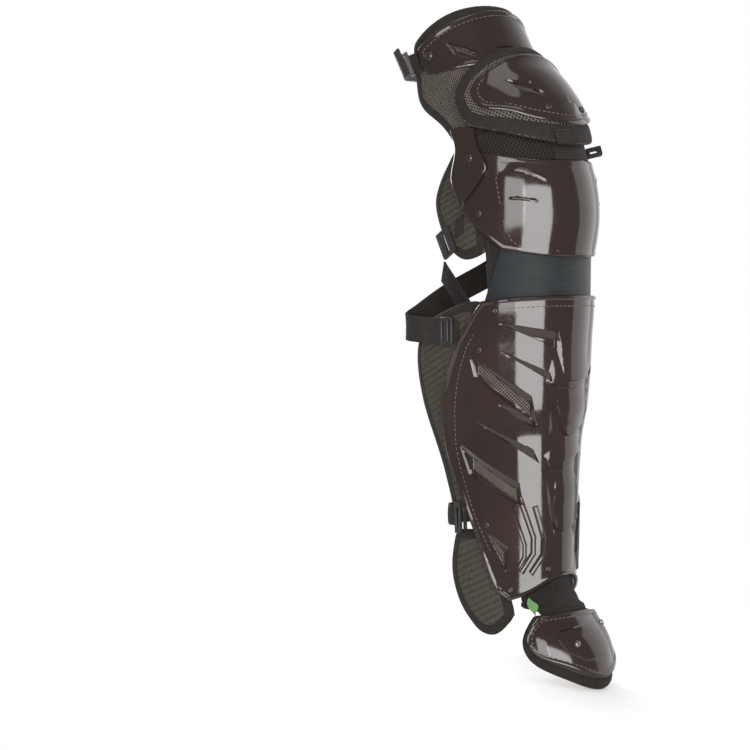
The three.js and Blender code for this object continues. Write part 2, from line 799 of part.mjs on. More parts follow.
// Straps behind the leg
const THIGH_STRAP = { width: 34, thick: 3, height: 189, sag: 24, right: 121, left: -124 };
const thighAt = (angle) => leg.point(angle, THIGH_STRAP.height, 0.8);
const thighBehind = [0.2, 0.35, 0.5, 0.65, 0.8].map((share) =>
  thighAt(THIGH_STRAP.right)
    .lerp(thighAt(THIGH_STRAP.left), share)
    .add(new THREE.Vector3(0, THIGH_STRAP.sag * Math.sin(Math.PI * share), 0)),
);
strap(
  "thigh_strap",
  "satin",
  [
    ...[101, 111, THIGH_STRAP.right].map(thighAt),
    ...thighBehind,
    ...[THIGH_STRAP.left, -117.3].map(thighAt),
  ],
  THIGH_STRAP.width,
  { thick: THIGH_STRAP.thick, lean: THIGH_LEAN, steps: 18 },
);
const CROSS_WIDTH = 28;
const behind = (x, y, z) => new THREE.Vector3(x, y, z);
strap(
  "knee_cross_strap",
  "webbing",
  [
    ...along(leg, 0.1, [
      { angle: 94, height: -34 },
      { angle: 112, height: -40 },
      { angle: 130, height: -50 },
    ]),
    behind(46, 84, -74),
    behind(4, 100, -97),
    behind(-34, 110, -121),
    behind(-58, 107, -132),
    ...along(leg, 1.2, [
      { angle: -150, height: -135 },
      { angle: -135, height: -136 },
      { angle: -121, height: -136 },
    ]),
  ],
  CROSS_WIDTH,
  { steps: 22 },
);
strap(
  "calf_cross_strap",
  "webbing",
  [
    ...along(leg, 0.3, [
      { angle: 106, height: -143 },
      { angle: 125, height: -141 },
      { angle: 148, height: -138 },
    ]),
    behind(61, 99, -135),
    behind(38, 92, -128),
    behind(2, 76, -110),
    behind(-36, 60, -86),
    behind(-62, 47, -72),
  ],
  CROSS_WIDTH - 4,
  { steps: 20 },
);
strap(
  "ankle_strap",
  "webbing",
  [
    ...along(leg, 0.4, [
      { angle: 107, height: -336 },
      { angle: 114, height: -336 },
      { angle: 121, height: -336 },
    ]),
    behind(40, 58, -336),
    behind(0, 66, -335),
    behind(-40, 58, -334),
    ...along(leg, 0.4, [
      { angle: -121, height: -334 },
      { angle: -115.9, height: -334 },
    ]),
  ],
  22,
  { steps: 16 },
);

// Buckles and the webbing that holds them to the plates
strip("thigh_webbing", "webbing", {
  from: { angle: -109.4, height: 178 }, to: { angle: -99.5, height: 174 }, width: 24, low: ON_PAD,
});
ring("thigh_hook", "metal", {
  at: { angle: -113.5, height: 182 }, width: 8, height: 28, thick: 3, low: ON_PAD,
  slots: [{ left: -1.5, right: 1.5, bottom: -11, top: 11 }],
});
strip("knee_webbing", "webbing", {
  from: { angle: -103, height: -28 }, to: { angle: -94, height: -22 }, width: 20, low: ON_PAD,
});
ring("knee_buckle", "plastic", {
  at: { angle: -113, height: -42 }, width: 22, height: 30, thick: 4, low: ON_PAD, turn: 30,
  slots: [{ left: -1.8, right: 1.8, bottom: -11, top: 11 }],
});
strip("calf_webbing", "webbing", {
  from: { angle: -104, height: -136 }, to: { angle: -98.5, height: -137 }, width: 24, low: ON_PAD,
});
ring("calf_ring", "plastic", {
  at: { angle: -112, height: -136 }, width: 20, height: 30, thick: 4, low: ON_PAD,
  slots: [{ left: -6.5, right: -3.5, bottom: -11, top: 11 }, { left: 3.5, right: 6.5, bottom: -11, top: 11 }],
});
strip("ankle_webbing", "webbing", {
  from: { angle: -106, height: -340 }, to: { angle: -102.5, height: -340 }, width: 18, low: ON_PAD,
});
ring("ankle_buckle", "plastic", {
  at: { angle: -111.5, height: -336 }, width: 9, height: 34, thick: 4, low: ON_PAD,
  slots: [{ left: -1.5, right: 1.5, bottom: -11, top: 11 }],
});

// Elastic between the upper cup and the knee cap, its stitched end and the loop that stands out
strip("cup_elastic", "webbing", {
  from: { angle: -17, height: 40 }, to: { angle: 50, height: 40 }, width: 24, low: 0.5, cols: 8, thick: 1.2,
});
ring("cup_loop", "webbing", {
  at: { angle: 42, height: 39.2 }, standing: true, shift: 10.3, width: 16.6, height: 9.6, thick: 12, low: -6,
  slots: [{ left: -5, right: 3.5, bottom: -1.95, top: 1.95 }],
});
strip("cup_webbing", "webbing", {
  from: { angle: -18, height: 43 }, to: { angle: -4, height: 43 }, width: 10, low: 13.6,
});
const TAB_HEIGHT = FOOT_TOP - 15.4;
strip("green_tab", "green", {
  surface: foot, from: { angle: -72, height: TAB_HEIGHT }, to: { angle: -57, height: TAB_HEIGHT },
  width: 15, low: -4, thick: 1.2,
});

export default group;
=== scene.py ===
# %% [markdown]
# # A catcher's leg guard, from the thigh to the foot
# The guard is five moulded black shells, each over its own padding, held behind the leg by straps.
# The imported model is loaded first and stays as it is. Every piece below is laid on the same leg
# surface as the solids, so it needs no fitting.

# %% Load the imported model
import math

import bmesh
import bpy
import numpy as np
from mathutils import Matrix, Vector


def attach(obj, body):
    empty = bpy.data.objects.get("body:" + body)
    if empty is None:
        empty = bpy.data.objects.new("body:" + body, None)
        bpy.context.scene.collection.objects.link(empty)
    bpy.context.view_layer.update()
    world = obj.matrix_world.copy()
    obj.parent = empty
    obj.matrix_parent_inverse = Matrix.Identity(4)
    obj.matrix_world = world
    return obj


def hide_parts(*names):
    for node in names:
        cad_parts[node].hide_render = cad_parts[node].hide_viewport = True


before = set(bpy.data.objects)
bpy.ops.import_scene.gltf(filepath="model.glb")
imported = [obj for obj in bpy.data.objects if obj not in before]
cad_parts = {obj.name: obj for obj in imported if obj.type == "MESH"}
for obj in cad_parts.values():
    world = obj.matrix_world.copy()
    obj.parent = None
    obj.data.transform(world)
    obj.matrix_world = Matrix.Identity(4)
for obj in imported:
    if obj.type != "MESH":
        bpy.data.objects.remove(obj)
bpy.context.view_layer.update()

print("nodes in the packed model:", len(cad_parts))

# %% [markdown]
# ## The leg surface
# A leg isn't a cylinder, so a shell could be sculpted by eye, or lofted through drawn sections.
# Here one table of sections gives the knee's width, depth and reach at each height, and a smooth
# curve runs through the table. A place on it is an angle (0 in front, negative to the outer side)
# and a height in millimetres along the leg. The thigh leans back, so its height follows the lean.

# %% Sections of the leg and the foot
MM = 0.001
SHIN_LENGTH = 430
THIGH_LENGTH = 215
KNEE_HALF_WIDTH = 76
KNEE_DEPTH = 90
SIDE_REACH = 120
THIGH_LEAN = math.radians(30)
SIDE_TUCK = 0.35
FOOT_HALF_WIDTH = 58
FOOT_DEPTH = 60
FOOT_FORWARD = 71
FOOT_TOP = -410
FOOT_LENGTH = 112

LEG_COLUMNS = ("at", "lean", "width", "depth", "reach")
LEG_ROWS = [
    (-1.12, 0, 0.75, 0.73, 1), (-1.0, 0, 0.75, 0.745, 1), (-0.93, 0, 0.75, 0.75, 1),
    (-0.8, 0, 0.763, 0.767, 1), (-0.7, 0, 0.79, 0.778, 1), (-0.58, 0, 0.842, 0.811, 1),
    (-0.49, 0, 0.934, 0.878, 1), (-0.35, 0, 0.987, 0.922, 1), (-0.23, 0, 0.987, 0.933, 1),
    (-0.115, 0, 0.98, 0.95, 1), (-0.045, 0, 0.98, 0.98, 1), (0, 0, 0.98, 0.98, 0.99),
    (0.14, 0.33, 0.974, 0.944, 0.95), (0.28, 0.73, 0.96, 0.88, 0.9), (0.42, 1, 0.94, 0.79, 0.86),
    (0.56, 1, 0.92, 0.71, 0.84), (0.75, 1, 0.91, 0.69, 0.84), (1, 1, 0.92, 0.69, 0.84),
]
FOOT_COLUMNS = ("at", "width", "depth", "forward")
FOOT_ROWS = [
    (-1, 0.96, 1.0, 1.0), (-0.85, 1, 1, 0.93), (-0.67, 1, 0.9, 0.88), (-0.45, 0.97, 0.75, 0.83),
    (-0.27, 0.87, 0.55, 0.8), (-0.13, 0.8, 0.5, 0.71), (0, 0.76, 0.5, 0.6),
]


def column(columns, rows, name, place):
    """Smooth value of one column at places along the table's first column."""
    table = np.array(rows, float)
    keys, values = table[:, 0], table[:, columns.index(name)]
    last = len(keys) - 1
    at = np.clip(place, keys[0], keys[-1])
    a = np.clip(np.searchsorted(keys, at, side="left") - 1, 0, last - 1)
    b, before, after = a + 1, np.maximum(a - 1, 0), np.minimum(a + 2, last)
    step = keys[b] - keys[a]
    s = (at - keys[a]) / step
    slope_a = (values[b] - values[before]) / (keys[b] - keys[before]) * step
    slope_b = (values[after] - values[a]) / (keys[after] - keys[a]) * step
    turn = s * s * (3 - 2 * s)
    ease = slope_a * s * (1 - s) ** 2 - slope_b * s * s * (1 - s)
    return values[a] + (values[b] - values[a]) * turn + ease


print("leg sections:", len(LEG_ROWS), "foot sections:", len(FOOT_ROWS))

# %% [markdown]
# ## Points on the surface
# The middle line steps up the thigh along its growing lean. Each layer of the guard is a distance
# straight out of this surface, which is how the real layers lie on each other.

# %% The surface and its normals
LINE_STEP = 5
WING_TURN = 0.62
STRAP_BACK = 0.82
FEEL = 0.5

line = [(0.0, 0.0, 0.0)]
for h in range(0, THIGH_LENGTH + LINE_STEP, LINE_STEP):
    slant = THIGH_LEAN * float(column(LEG_COLUMNS, LEG_ROWS, "lean", (h + LINE_STEP / 2) / THIGH_LENGTH))
    line.append((
        h + LINE_STEP,
        line[-1][1] + LINE_STEP * math.sin(slant),
        line[-1][2] + LINE_STEP * math.cos(slant),
    ))
LINE_COLUMNS = ("height", "back", "up")


def leg_base(angle, height, closed=False):
    """The leg surface itself: half an ellipse in front, sides that run back and tuck in a little."""
    at = np.where(height < 0, height / SHIN_LENGTH, height / THIGH_LENGTH)
    lean = THIGH_LEAN * column(LEG_COLUMNS, LEG_ROWS, "lean", at)
    width = KNEE_HALF_WIDTH * column(LEG_COLUMNS, LEG_ROWS, "width", at)
    depth = KNEE_DEPTH * column(LEG_COLUMNS, LEG_ROWS, "depth", at)
    reach = SIDE_REACH * column(LEG_COLUMNS, LEG_ROWS, "reach", at)
    side, turn = np.sign(angle), np.radians(np.abs(angle))
    q = np.maximum(np.abs(angle) - 90, 0) / 90
    front = np.abs(angle) <= 90
    x = np.where(front, side * width * np.sin(turn), side * width * (1 - SIDE_TUCK * q * q))
    y = np.where(front, -depth * np.cos(turn), reach * q)
    if closed:
        s = np.clip((q - WING_TURN) / (1 - WING_TURN), 0, 1) * math.pi / 2
        edge = width * (1 - SIDE_TUCK * WING_TURN**2)
        behind = reach * (WING_TURN + (STRAP_BACK - WING_TURN) * np.sin(s))
        x = np.where(q > WING_TURN, side * edge * np.cos(s), x)
        y = np.where(q > WING_TURN, behind, y)
    back = np.where(height < 0, 0, column(LINE_COLUMNS, line, "back", height))
    up = np.where(height < 0, height, column(LINE_COLUMNS, line, "up", height))
    return np.stack([x, back + y * np.cos(lean), up - y * np.sin(lean)], -1)


def foot_base(angle, height):
    """The top of the foot, down to the ground."""
    at = (height - FOOT_TOP) / FOOT_LENGTH
    width = FOOT_HALF_WIDTH * column(FOOT_COLUMNS, FOOT_ROWS, "width", at)
    depth = FOOT_DEPTH * column(FOOT_COLUMNS, FOOT_ROWS, "depth", at)
    forward = FOOT_FORWARD * column(FOOT_COLUMNS, FOOT_ROWS, "forward", at)
    turn = np.radians(angle)
    return np.stack([width * np.sin(turn), -forward - depth * np.cos(turn), height + 0 * turn], -1)


def unit(v):
    return v / np.linalg.norm(v, axis=-1, keepdims=True)


def frame_at(base, angle, height):
    """Point, direction across, direction up and direction out of a surface, for arrays of places."""
    angle, height = np.broadcast_arrays(np.asarray(angle, float), np.asarray(height, float))
    across = unit(base(angle + FEEL, height) - base(angle - FEEL, height))
    up = unit(base(angle, height + FEEL) - base(angle, height - FEEL))
    return base(angle, height), across, up, unit(np.cross(across, up))


def on_surface(base, angle, height, offset):
    at, _, _, out = frame_at(base, angle, height)
    return at + out * np.asarray(offset, float)[..., None]


print("front of the knee, in mm:", leg_base(np.array(0.0), np.array(0.0)).round(1))

# %% [markdown]
# ## Colours and nodes
# Colours are read off the photograph as sRGB values, and shaders want linear light, so one function
# turns them. One more function adds a node with its settings and its links.

# %% Small helpers for materials
def linear(code):
    """Linear colour of an sRGB hex value."""
    parts = [int(code[i : i + 2], 16) / 255 for i in (1, 3, 5)]
    return tuple(p / 12.92 if p <= 0.04045 else ((p + 0.055) / 1.055) ** 2.4 for p in parts) + (1,)


def add(tree, kind, settings=None, **inputs):
    """Adds one node. settings are its properties; inputs are values or sockets, by socket name or _index."""
    node = tree.nodes.new(kind)
    for key, value in (settings or {}).items():
        setattr(node, key, value)
    for key, value in inputs.items():
        socket = node.inputs[int(key[1:])] if key[0] == "_" else node.inputs[key.replace("_", " ")]
        if isinstance(value, bpy.types.NodeSocket):
            tree.links.new(value, socket)
        else:
            socket.default_value = value
    return node


def start_material(name):
    """A new material with its shader; returns both and the tree."""
    material = bpy.data.materials.new(name)
    material.use_nodes = True
    tree = material.node_tree
    return material, tree, tree.nodes["Principled BSDF"]


def ramp(tree, factor, low, high, start=0.0, end=1.0):
    """A colour that goes from low to high as factor goes from start to end."""
    node = add(tree, "ShaderNodeValToRGB", _0=factor)
    node.color_ramp.elements[0].position = start
    node.color_ramp.elements[1].position = end
    node.color_ramp.elements[0].color = low
    node.color_ramp.elements[1].color = high
    return node.outputs["Color"]


def math_node(tree, operation, a, b=0.0, c=0.0, clamp=False):
    return add(
        tree, "ShaderNodeMath", {"operation": operation, "use_clamp": clamp}, _0=a, _1=b, _2=c
    ).outputs[0]


def bump(tree, shader, height, strength, distance):
    """Relief from a height, in millimetres of real depth."""
    node = add(
        tree, "ShaderNodeBump", Height=height, Strength=strength, Distance=distance * MM
    )
    tree.links.new(node.outputs["Normal"], shader.inputs["Normal"])


print("linear value of mid grey:", round(linear("#808080")[0], 3))

# %% [markdown]
# ## Shell plastic
# The shells are moulded plastic, a tough polypropylene blend polished in the mould and black with a
# warm cast. It gives the eye long soft highlights, faint waves from cooling, and fine scuffs where the
# guard rubs. The back of a moulding isn't polished and shows a pale, dusty grey.

# %% Shell materials
def polished_plastic(name, colour, roughness):
    material, tree, shader = start_material(name)
    place = add(tree, "ShaderNodeTexCoord").outputs["Object"]
    waves = add(tree, "ShaderNodeTexNoise", Vector=place, Scale=22.0, Detail=2.0).outputs["Fac"]
    scuffs = add(tree, "ShaderNodeTexNoise", Vector=place, Scale=260.0, Detail=6.0).outputs["Fac"]
    worn = add(tree, "ShaderNodeTexNoise", Vector=place, Scale=9.0, Detail=3.0).outputs["Fac"]
    light = tuple(min(1, c * 1.5) for c in linear(colour)[:3]) + (1,)
    tree.links.new(ramp(tree, worn, linear(colour), light, 0.45, 0.8), shader.inputs["Base Color"])
    patch = math_node(tree, "MULTIPLY", worn, scuffs)
    rough = add(
        tree, "ShaderNodeMapRange", Value=patch, From_Min=0.15, From_Max=0.5,
        To_Min=roughness, To_Max=roughness + 0.13,
    ).outputs[0]
    tree.links.new(rough, shader.inputs["Roughness"])
    height = math_node(tree, "ADD", waves, math_node(tree, "MULTIPLY", scuffs, 0.012))
    bump(tree, shader, height, 0.25, 0.5)
    shader.inputs["IOR"].default_value = 1.5
    return material


def dull_plastic(name, colour):
    """Unpolished moulding: a fine satin grain of about half a millimetre, drawn at one millimetre."""
    material, tree, shader = start_material(name)
    place = add(tree, "ShaderNodeTexCoord").outputs["Object"]
    grain = add(tree, "ShaderNodeTexNoise", Vector=place, Scale=1000.0, Detail=2.0).outputs["Fac"]
    cloud = add(tree, "ShaderNodeTexNoise", Vector=place, Scale=30.0, Detail=4.0).outputs["Fac"]
    dark = tuple(c * 0.75 for c in linear(colour)[:3]) + (1,)
    tree.links.new(ramp(tree, cloud, dark, linear(colour), 0.3, 0.7), shader.inputs["Base Color"])
    shader.inputs["Roughness"].default_value = 0.5
    bump(tree, shader, grain, 0.3, 0.15)
    return material


SHELL_BLACK = polished_plastic("moulded_plastic_polished", "#211815", 0.07)
SHELL_BACK = dull_plastic("moulded_plastic_back", "#8a8582")
BUCKLE_BLACK = dull_plastic("moulded_acetal_buckle", "#1d1b1a")
RIVET_BLACK = polished_plastic("moulded_nylon_rivet", "#241c1a", 0.2)
print("shell materials made")

# %% [markdown]
# ## Cloth materials
# The padding's outside is a knitted spacer mesh: rows of small diamond holes, light threads over a
# dark core. Its inside is a brushed lining with sparse punched dashes. Tape, webbing and elastic are
# woven. All of them read the piece's own pattern coordinates, one unit for 100 mm, so the threads
# follow the cloth. Real threads are 0.3 mm, too fine for this picture, so they are drawn at 2 to 4 mm.

# %% Cloth patterns
PATTERN_UNIT = 100


def pattern_axes(tree):
    """The pattern coordinates in millimetres, across and along."""
    place = add(tree, "ShaderNodeUVMap", {"uv_map": "pattern"}).outputs["UV"]
    split = add(tree, "ShaderNodeSeparateXYZ", _0=place)
    across = math_node(tree, "MULTIPLY", split.outputs[0], float(PATTERN_UNIT))
    along = math_node(tree, "MULTIPLY", split.outputs[1], float(PATTERN_UNIT))
    return place, across, along


def wave(tree, value, period, phase=0.0):
    """0 to 1 and back once in each period of millimetres."""
    turned = math_node(tree, "MULTIPLY_ADD", value, 2 * math.pi / period, phase)
    return math_node(tree, "MULTIPLY_ADD", math_node(tree, "SINE", turned), 0.5, 0.5)


def knitted_mesh(name, thread, core, cell):
    """Spacer mesh: light threads cross in a diamond net over a dark core, cell millimetres apart."""
    material, tree, shader = start_material(name)
    place, across, along = pattern_axes(tree)
    rows = wave(tree, math_node(tree, "ADD", across, along), cell)
    lines = wave(tree, math_node(tree, "SUBTRACT", across, along), cell)
    thin_rows, thin_lines = (math_node(tree, "POWER", way, 4.0) for way in (rows, lines))
    net = math_node(tree, "MAXIMUM", thin_rows, thin_lines)
    tone = add(tree, "ShaderNodeTexNoise", Vector=place, Scale=7.0, Detail=5.0).outputs["Fac"]
    shade = math_node(tree, "MULTIPLY_ADD", net, 0.75, math_node(tree, "MULTIPLY", tone, 0.35))
    tree.links.new(ramp(tree, shade, linear(core), linear(thread), 0.2, 1.0), shader.inputs["Base Color"])
    shader.inputs["Roughness"].default_value = 0.85
    shader.inputs["Sheen Weight"].default_value = 0.02
    shader.inputs["Specular IOR Level"].default_value = 0.2
    bump(tree, shader, net, 0.9, 0.6)
    return material


def ribbed_knit(name, thread, core, cell):
    """Side cloth with fine slanted ribs, cell millimetres apart, each broken into short stitches."""
    material, tree, shader = start_material(name)
    place, across, along = pattern_axes(tree)
    ribs = wave(tree, math_node(tree, "ADD", across, along), cell)
    breaks = wave(tree, math_node(tree, "MULTIPLY_ADD", across, -0.4, along), cell * 2.3)
    knit = math_node(tree, "MULTIPLY", ribs, math_node(tree, "MULTIPLY_ADD", breaks, 0.6, 0.4))
    tone = add(tree, "ShaderNodeTexNoise", Vector=place, Scale=30.0, Detail=6.0).outputs["Fac"]
    shade = math_node(tree, "MULTIPLY_ADD", knit, 0.5, math_node(tree, "MULTIPLY", tone, 0.6))
    tree.links.new(ramp(tree, shade, linear(core), linear(thread), 0.2, 0.8), shader.inputs["Base Color"])
    shader.inputs["Roughness"].default_value = 0.88
    shader.inputs["Sheen Weight"].default_value = 0.02
    shader.inputs["Specular IOR Level"].default_value = 0.2
    bump(tree, shader, knit, 0.8, 0.5)
    return material


def punched_lining(name, face, hole_colour):
    """Brushed lining with staggered dashes, 3 mm long and 14 mm apart."""
    material, tree, shader = start_material(name)
    place, across, along = pattern_axes(tree)
    row = math_node(tree, "DIVIDE", along, 9.0)
    odd = math_node(tree, "MULTIPLY", math_node(tree, "MODULO", math_node(tree, "FLOOR", row), 2.0), 0.5)
    x = math_node(tree, "FRACT", math_node(tree, "ADD", math_node(tree, "DIVIDE", across, 14.0), odd))
    y = math_node(tree, "FRACT", row)
    dx = math_node(tree, "ABSOLUTE", math_node(tree, "SUBTRACT", x, 0.5))
    dy = math_node(tree, "ABSOLUTE", math_node(tree, "SUBTRACT", y, 0.5))
    inside = math_node(
        tree, "MULTIPLY",
        math_node(tree, "LESS_THAN", dx, 0.15), math_node(tree, "LESS_THAN", dy, 0.09),
    )
    nap = add(tree, "ShaderNodeTexNoise", Vector=place, Scale=160.0, Detail=4.0).outputs["Fac"]
    cloud = add(tree, "ShaderNodeTexNoise", Vector=place, Scale=6.0, Detail=3.0).outputs["Fac"]
    dusty = tuple(c * 0.72 for c in linear(face)[:3]) + (1,)
    cloth = ramp(tree, math_node(tree, "MULTIPLY_ADD", nap, 0.4, math_node(tree, "MULTIPLY", cloud, 0.6)),
                 dusty, linear(face), 0.3, 0.62)
    mix = add(tree, "ShaderNodeMix", {"data_type": "RGBA"}, _0=inside, _6=cloth, _7=linear(hole_colour))
    tree.links.new(mix.outputs[2], shader.inputs["Base Color"])
    shader.inputs["Roughness"].default_value = 0.95
    shader.inputs["Sheen Weight"].default_value = 0.3
    bump(tree, shader, math_node(tree, "SUBTRACT", math_node(tree, "MULTIPLY", nap, 0.3), inside), 0.7, 0.6)
    return material


def woven_tape(name, colour, light, rib, roughness=0.8):
    """Webbing or tape: ribs across it, rib millimetres apart, and a finer thread along it."""
    material, tree, shader = start_material(name)
    place, across, along = pattern_axes(tree)
    ribs = wave(tree, along, rib)
    threads = wave(tree, across, rib * 0.8)
    weave = math_node(tree, "MULTIPLY", ribs, threads)
    tone = add(tree, "ShaderNodeTexNoise", Vector=place, Scale=12.0, Detail=5.0).outputs["Fac"]
    shade = math_node(tree, "MULTIPLY_ADD", tone, 0.6, math_node(tree, "MULTIPLY", weave, 0.5))
    tree.links.new(ramp(tree, shade, linear(colour), linear(light), 0.25, 0.85), shader.inputs["Base Color"])
    shader.inputs["Roughness"].default_value = roughness
    shader.inputs["Sheen Weight"].default_value = 0.02
    shader.inputs["Specular IOR Level"].default_value = 0.2
    bump(tree, shader, weave, 0.8, 0.4)
    return material


OUTER_MESH = knitted_mesh("knitted_spacer_mesh", "#675f55", "#0d0b0a", 3.8)
SIDE_MESH = ribbed_knit("knitted_side_cloth", "#4a443b", "#110f0d", 3.2)
DARK_MESH = knitted_mesh("knitted_spacer_mesh_dark", "#2b2622", "#070606", 4.4)
LINING = punched_lining("brushed_lining_punched", "#c3b8b3", "#5b504d")
PATCH_CLOTH = punched_lining("laminated_patch_punched", "#d98c6b", "#8a4b33")
BINDING = woven_tape("woven_binding_tape", "#15120f", "#2a2521", 1.8)
WEBBING = woven_tape("woven_polyester_webbing", "#161311", "#2c2723", 2.2)
BAND = woven_tape("woven_elastic_band", "#101315", "#1f2326", 1.3, 0.34)
GREEN = woven_tape("woven_tab_green", "#4b6f44", "#6c9562", 1.6)
THREAD = woven_tape("sewing_thread", "#4a423e", "#7a716b", 1.2)
print("cloth materials made")

# %% [markdown]
# The knee cushion is black satin over soft foam: a close, smooth weave with a purplish sheen. The
# long liner in the shin is split leather with a raised nap. The snaps are nickel-plated steel.

# %% Satin, split leather and metal
def satin(name, colour, sheen):
    material, tree, shader = start_material(name)
    place, across, along = pattern_axes(tree)
    creases_and_painted_sheen = add(
        tree, "ShaderNodeTexNoise", Vector=place, Scale=5.0, Detail=6.0, Distortion=1.2
    ).outputs["Fac"]
    weave = math_node(tree, "MULTIPLY", wave(tree, across, 1.4), wave(tree, along, 1.4))
    # The base colour is lighter where the creases stand high: painted sheen on the crease tops, over their
    # real bump.
    light = tuple(min(1, c * 2.2) for c in linear(colour)[:3]) + (1,)
    tree.links.new(ramp(tree, creases_and_painted_sheen, linear(colour), light, 0.35, 0.75), shader.inputs["Base Color"])
    shader.inputs["Roughness"].default_value = 0.48
    shader.inputs["Sheen Weight"].default_value = 0.8
    shader.inputs["Sheen Roughness"].default_value = 0.35
    shader.inputs["Sheen Tint"].default_value = linear(sheen)
    height = math_node(tree, "MULTIPLY_ADD", weave, 0.12, creases_and_painted_sheen)
    bump(tree, shader, height, 0.6, 1.4)
    return material


def split_leather(name, colour):
    material, tree, shader = start_material(name)
    place, _, _ = pattern_axes(tree)
    nap = add(tree, "ShaderNodeTexNoise", Vector=place, Scale=90.0, Detail=6.0).outputs["Fac"]
    brushed = add(tree, "ShaderNodeTexNoise", Vector=place, Scale=5.0, Detail=4.0).outputs["Fac"]
    dark = tuple(c * 0.55 for c in linear(colour)[:3]) + (1,)
    tone = math_node(tree, "MULTIPLY_ADD", nap, 0.45, math_node(tree, "MULTIPLY", brushed, 0.55))
    tree.links.new(ramp(tree, tone, dark, linear(colour), 0.32, 0.64), shader.inputs["Base Color"])
    shader.inputs["Roughness"].default_value = 0.95
    shader.inputs["Sheen Weight"].default_value = 0.5
    bump(tree, shader, nap, 0.7, 0.5)
    return material


def plated_steel(name, colour):
    material, tree, shader = start_material(name)
    place = add(tree, "ShaderNodeTexCoord").outputs["Object"]
    rubs = add(tree, "ShaderNodeTexNoise", Vector=place, Scale=900.0, Detail=4.0).outputs["Fac"]
    tree.links.new(ramp(tree, rubs, linear("#4a4644"), linear(colour), 0.3, 0.6), shader.inputs["Base Color"])
    shader.inputs["Metallic"].default_value = 1.0
    shader.inputs["Roughness"].default_value = 0.3
    bump(tree, shader, rubs, 0.2, 0.1)
    return material


BLACK_SATIN = satin("satin_black", "#121112", "#7d7483")
STRAP_SATIN = satin("satin_strap_black", "#161413", "#6b6662")
SUEDE = split_leather("split_leather_brushed", "#7a6f69")
SNAP_METAL = plated_steel("nickel_plated_steel", "#a29c98")
print("materials:", len(bpy.data.materials))

# %% [markdown]
# ## From a flat pattern to the leg
# A real panel is cut flat and then bent round. Here a bmesh grid is the flat pattern: across is the
# angle, up is the height. Two small tables give its side edges and its end edges, so its outline is
# a smooth curve. Then every corner of the grid is lifted on to the surface.

# %% Patterns
ARC = 1.33


def panel_place(shape, u, v):
    """Angle and height of a share across and up a panel."""
    left = column(("v", "from", "to"), shape["sides"], "from", v)
    right = column(("v", "from", "to"), shape["sides"], "to", v)
    bottom = column(("u", "bottom", "top"), shape["ends"], "bottom", u)
    top = column(("u", "bottom", "top"), shape["ends"], "top", u)
    return left + (right - left) * u, bottom + (top - bottom) * v


def mirrored(shape):
    """The same panel on the other side of the leg."""
    return {
        "sides": [(v, -right, -left) for v, left, right in shape["sides"]],
        "ends": [(1 - u, bottom, top) for u, bottom, top in reversed(shape["ends"])],
    }


def even_sides(rows):
    """Side rows for a panel that is the same on both sides of the middle."""
    return [(v, -half, half) for v, half in rows]


def even_ends(rows):
    """End rows for such a panel, from its edge to its middle and back."""
    mirror = [(1 - u, bottom, top) for u, bottom, top in reversed(rows) if u != 0.5]
    return rows + mirror


def cut_pattern(shape, cols, rows, tight=0.0):
    """A flat grid in the panel's outline: x is the angle in arc millimetres, y the height."""
    bm = bmesh.new()
    bmesh.ops.create_grid(bm, x_segments=cols, y_segments=rows, size=0.5)
    co = np.array([v.co for v in bm.verts])
    share = (co - co.min(0)) / (np.ptp(co, 0) + 1e-9)
    u, v = (np.clip(share[:, i], 0, 1) for i in (0, 1))
    if tight:
        u, v = (pull_to_edge(s, count, tight) for s, count in ((u, cols), (v, rows)))
    angle, height = panel_place(shape, u, v)
    for vert, x, y in zip(bm.verts, angle * ARC, height):
        vert.co = (x, y, 0)
    return bm


def pull_to_edge(s, count, edge):
    """Even steps, with one short step at each end for the rounded rim."""
    i = np.round(s * count)
    inner = edge + (1 - 2 * edge) * (i - 1) / (count - 2)
    return np.where((i == 0) | (i == count), i / count, inner)


def outline_of(shape, steps=60):
    """The panel's edge, once around, as angles and heights."""
    s = np.linspace(0, 1, steps, endpoint=False)
    u = np.concatenate([s, np.ones(steps), 1 - s, np.zeros(steps)])
    v = np.concatenate([np.zeros(steps), s, np.ones(steps), 1 - s])
    return np.stack(panel_place(shape, u, v), -1)


def edge_distance(shape, x, y):
    """Distance in millimetres from pattern points to the panel's edge."""
    edge = outline_of(shape) * [ARC, 1]
    a, b = edge, np.roll(edge, -1, 0)
    d = b - a
    nearest = np.full(len(x), 1e9)
    for (ax, ay), (dx, dy) in zip(a, d):
        size = dx * dx + dy * dy + 1e-12
        t = np.clip(((x - ax) * dx + (y - ay) * dy) / size, 0, 1)
        nearest = np.minimum(nearest, np.hypot(x - ax - t * dx, y - ay - t * dy))
    return nearest


print("an even panel's ends:", even_ends([(0, 0, 1), (0.5, 0, 1)]))

# %% [markdown]
# ## Giving each mesh its pattern coordinates and its place
# Every finished piece gets a pattern map in real size, rides on the guard's one body and hides the
# solid that it stands for.

# %% Finishing a piece
def finish_mesh(name, bm, materials, node, smooth_angle=40):
    mesh = bpy.data.meshes.new(name)
    bm.to_mesh(mesh)
    bm.free()
    mesh.polygons.foreach_set("use_smooth", [True] * len(mesh.polygons))
    mesh.set_sharp_from_angle(angle=math.radians(smooth_angle))
    piece = bpy.data.objects.new(name, mesh)
    bpy.context.scene.collection.objects.link(piece)
    for material in materials:
        mesh.materials.append(material)
    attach(piece, "root")
    if node:
        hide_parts(*([node] if isinstance(node, str) else node))
    return piece


def write_pattern(bm, coordinates):
    """Writes pattern coordinates, in millimetres, for every vertex into the map named pattern."""
    layer = bm.loops.layers.uv.new("pattern")
    bm.verts.index_update()
    for face in bm.faces:
        for corner in face.loops:
            x, y = coordinates[corner.vert.index]
            corner[layer].uv = (x / PATTERN_UNIT, y / PATTERN_UNIT)


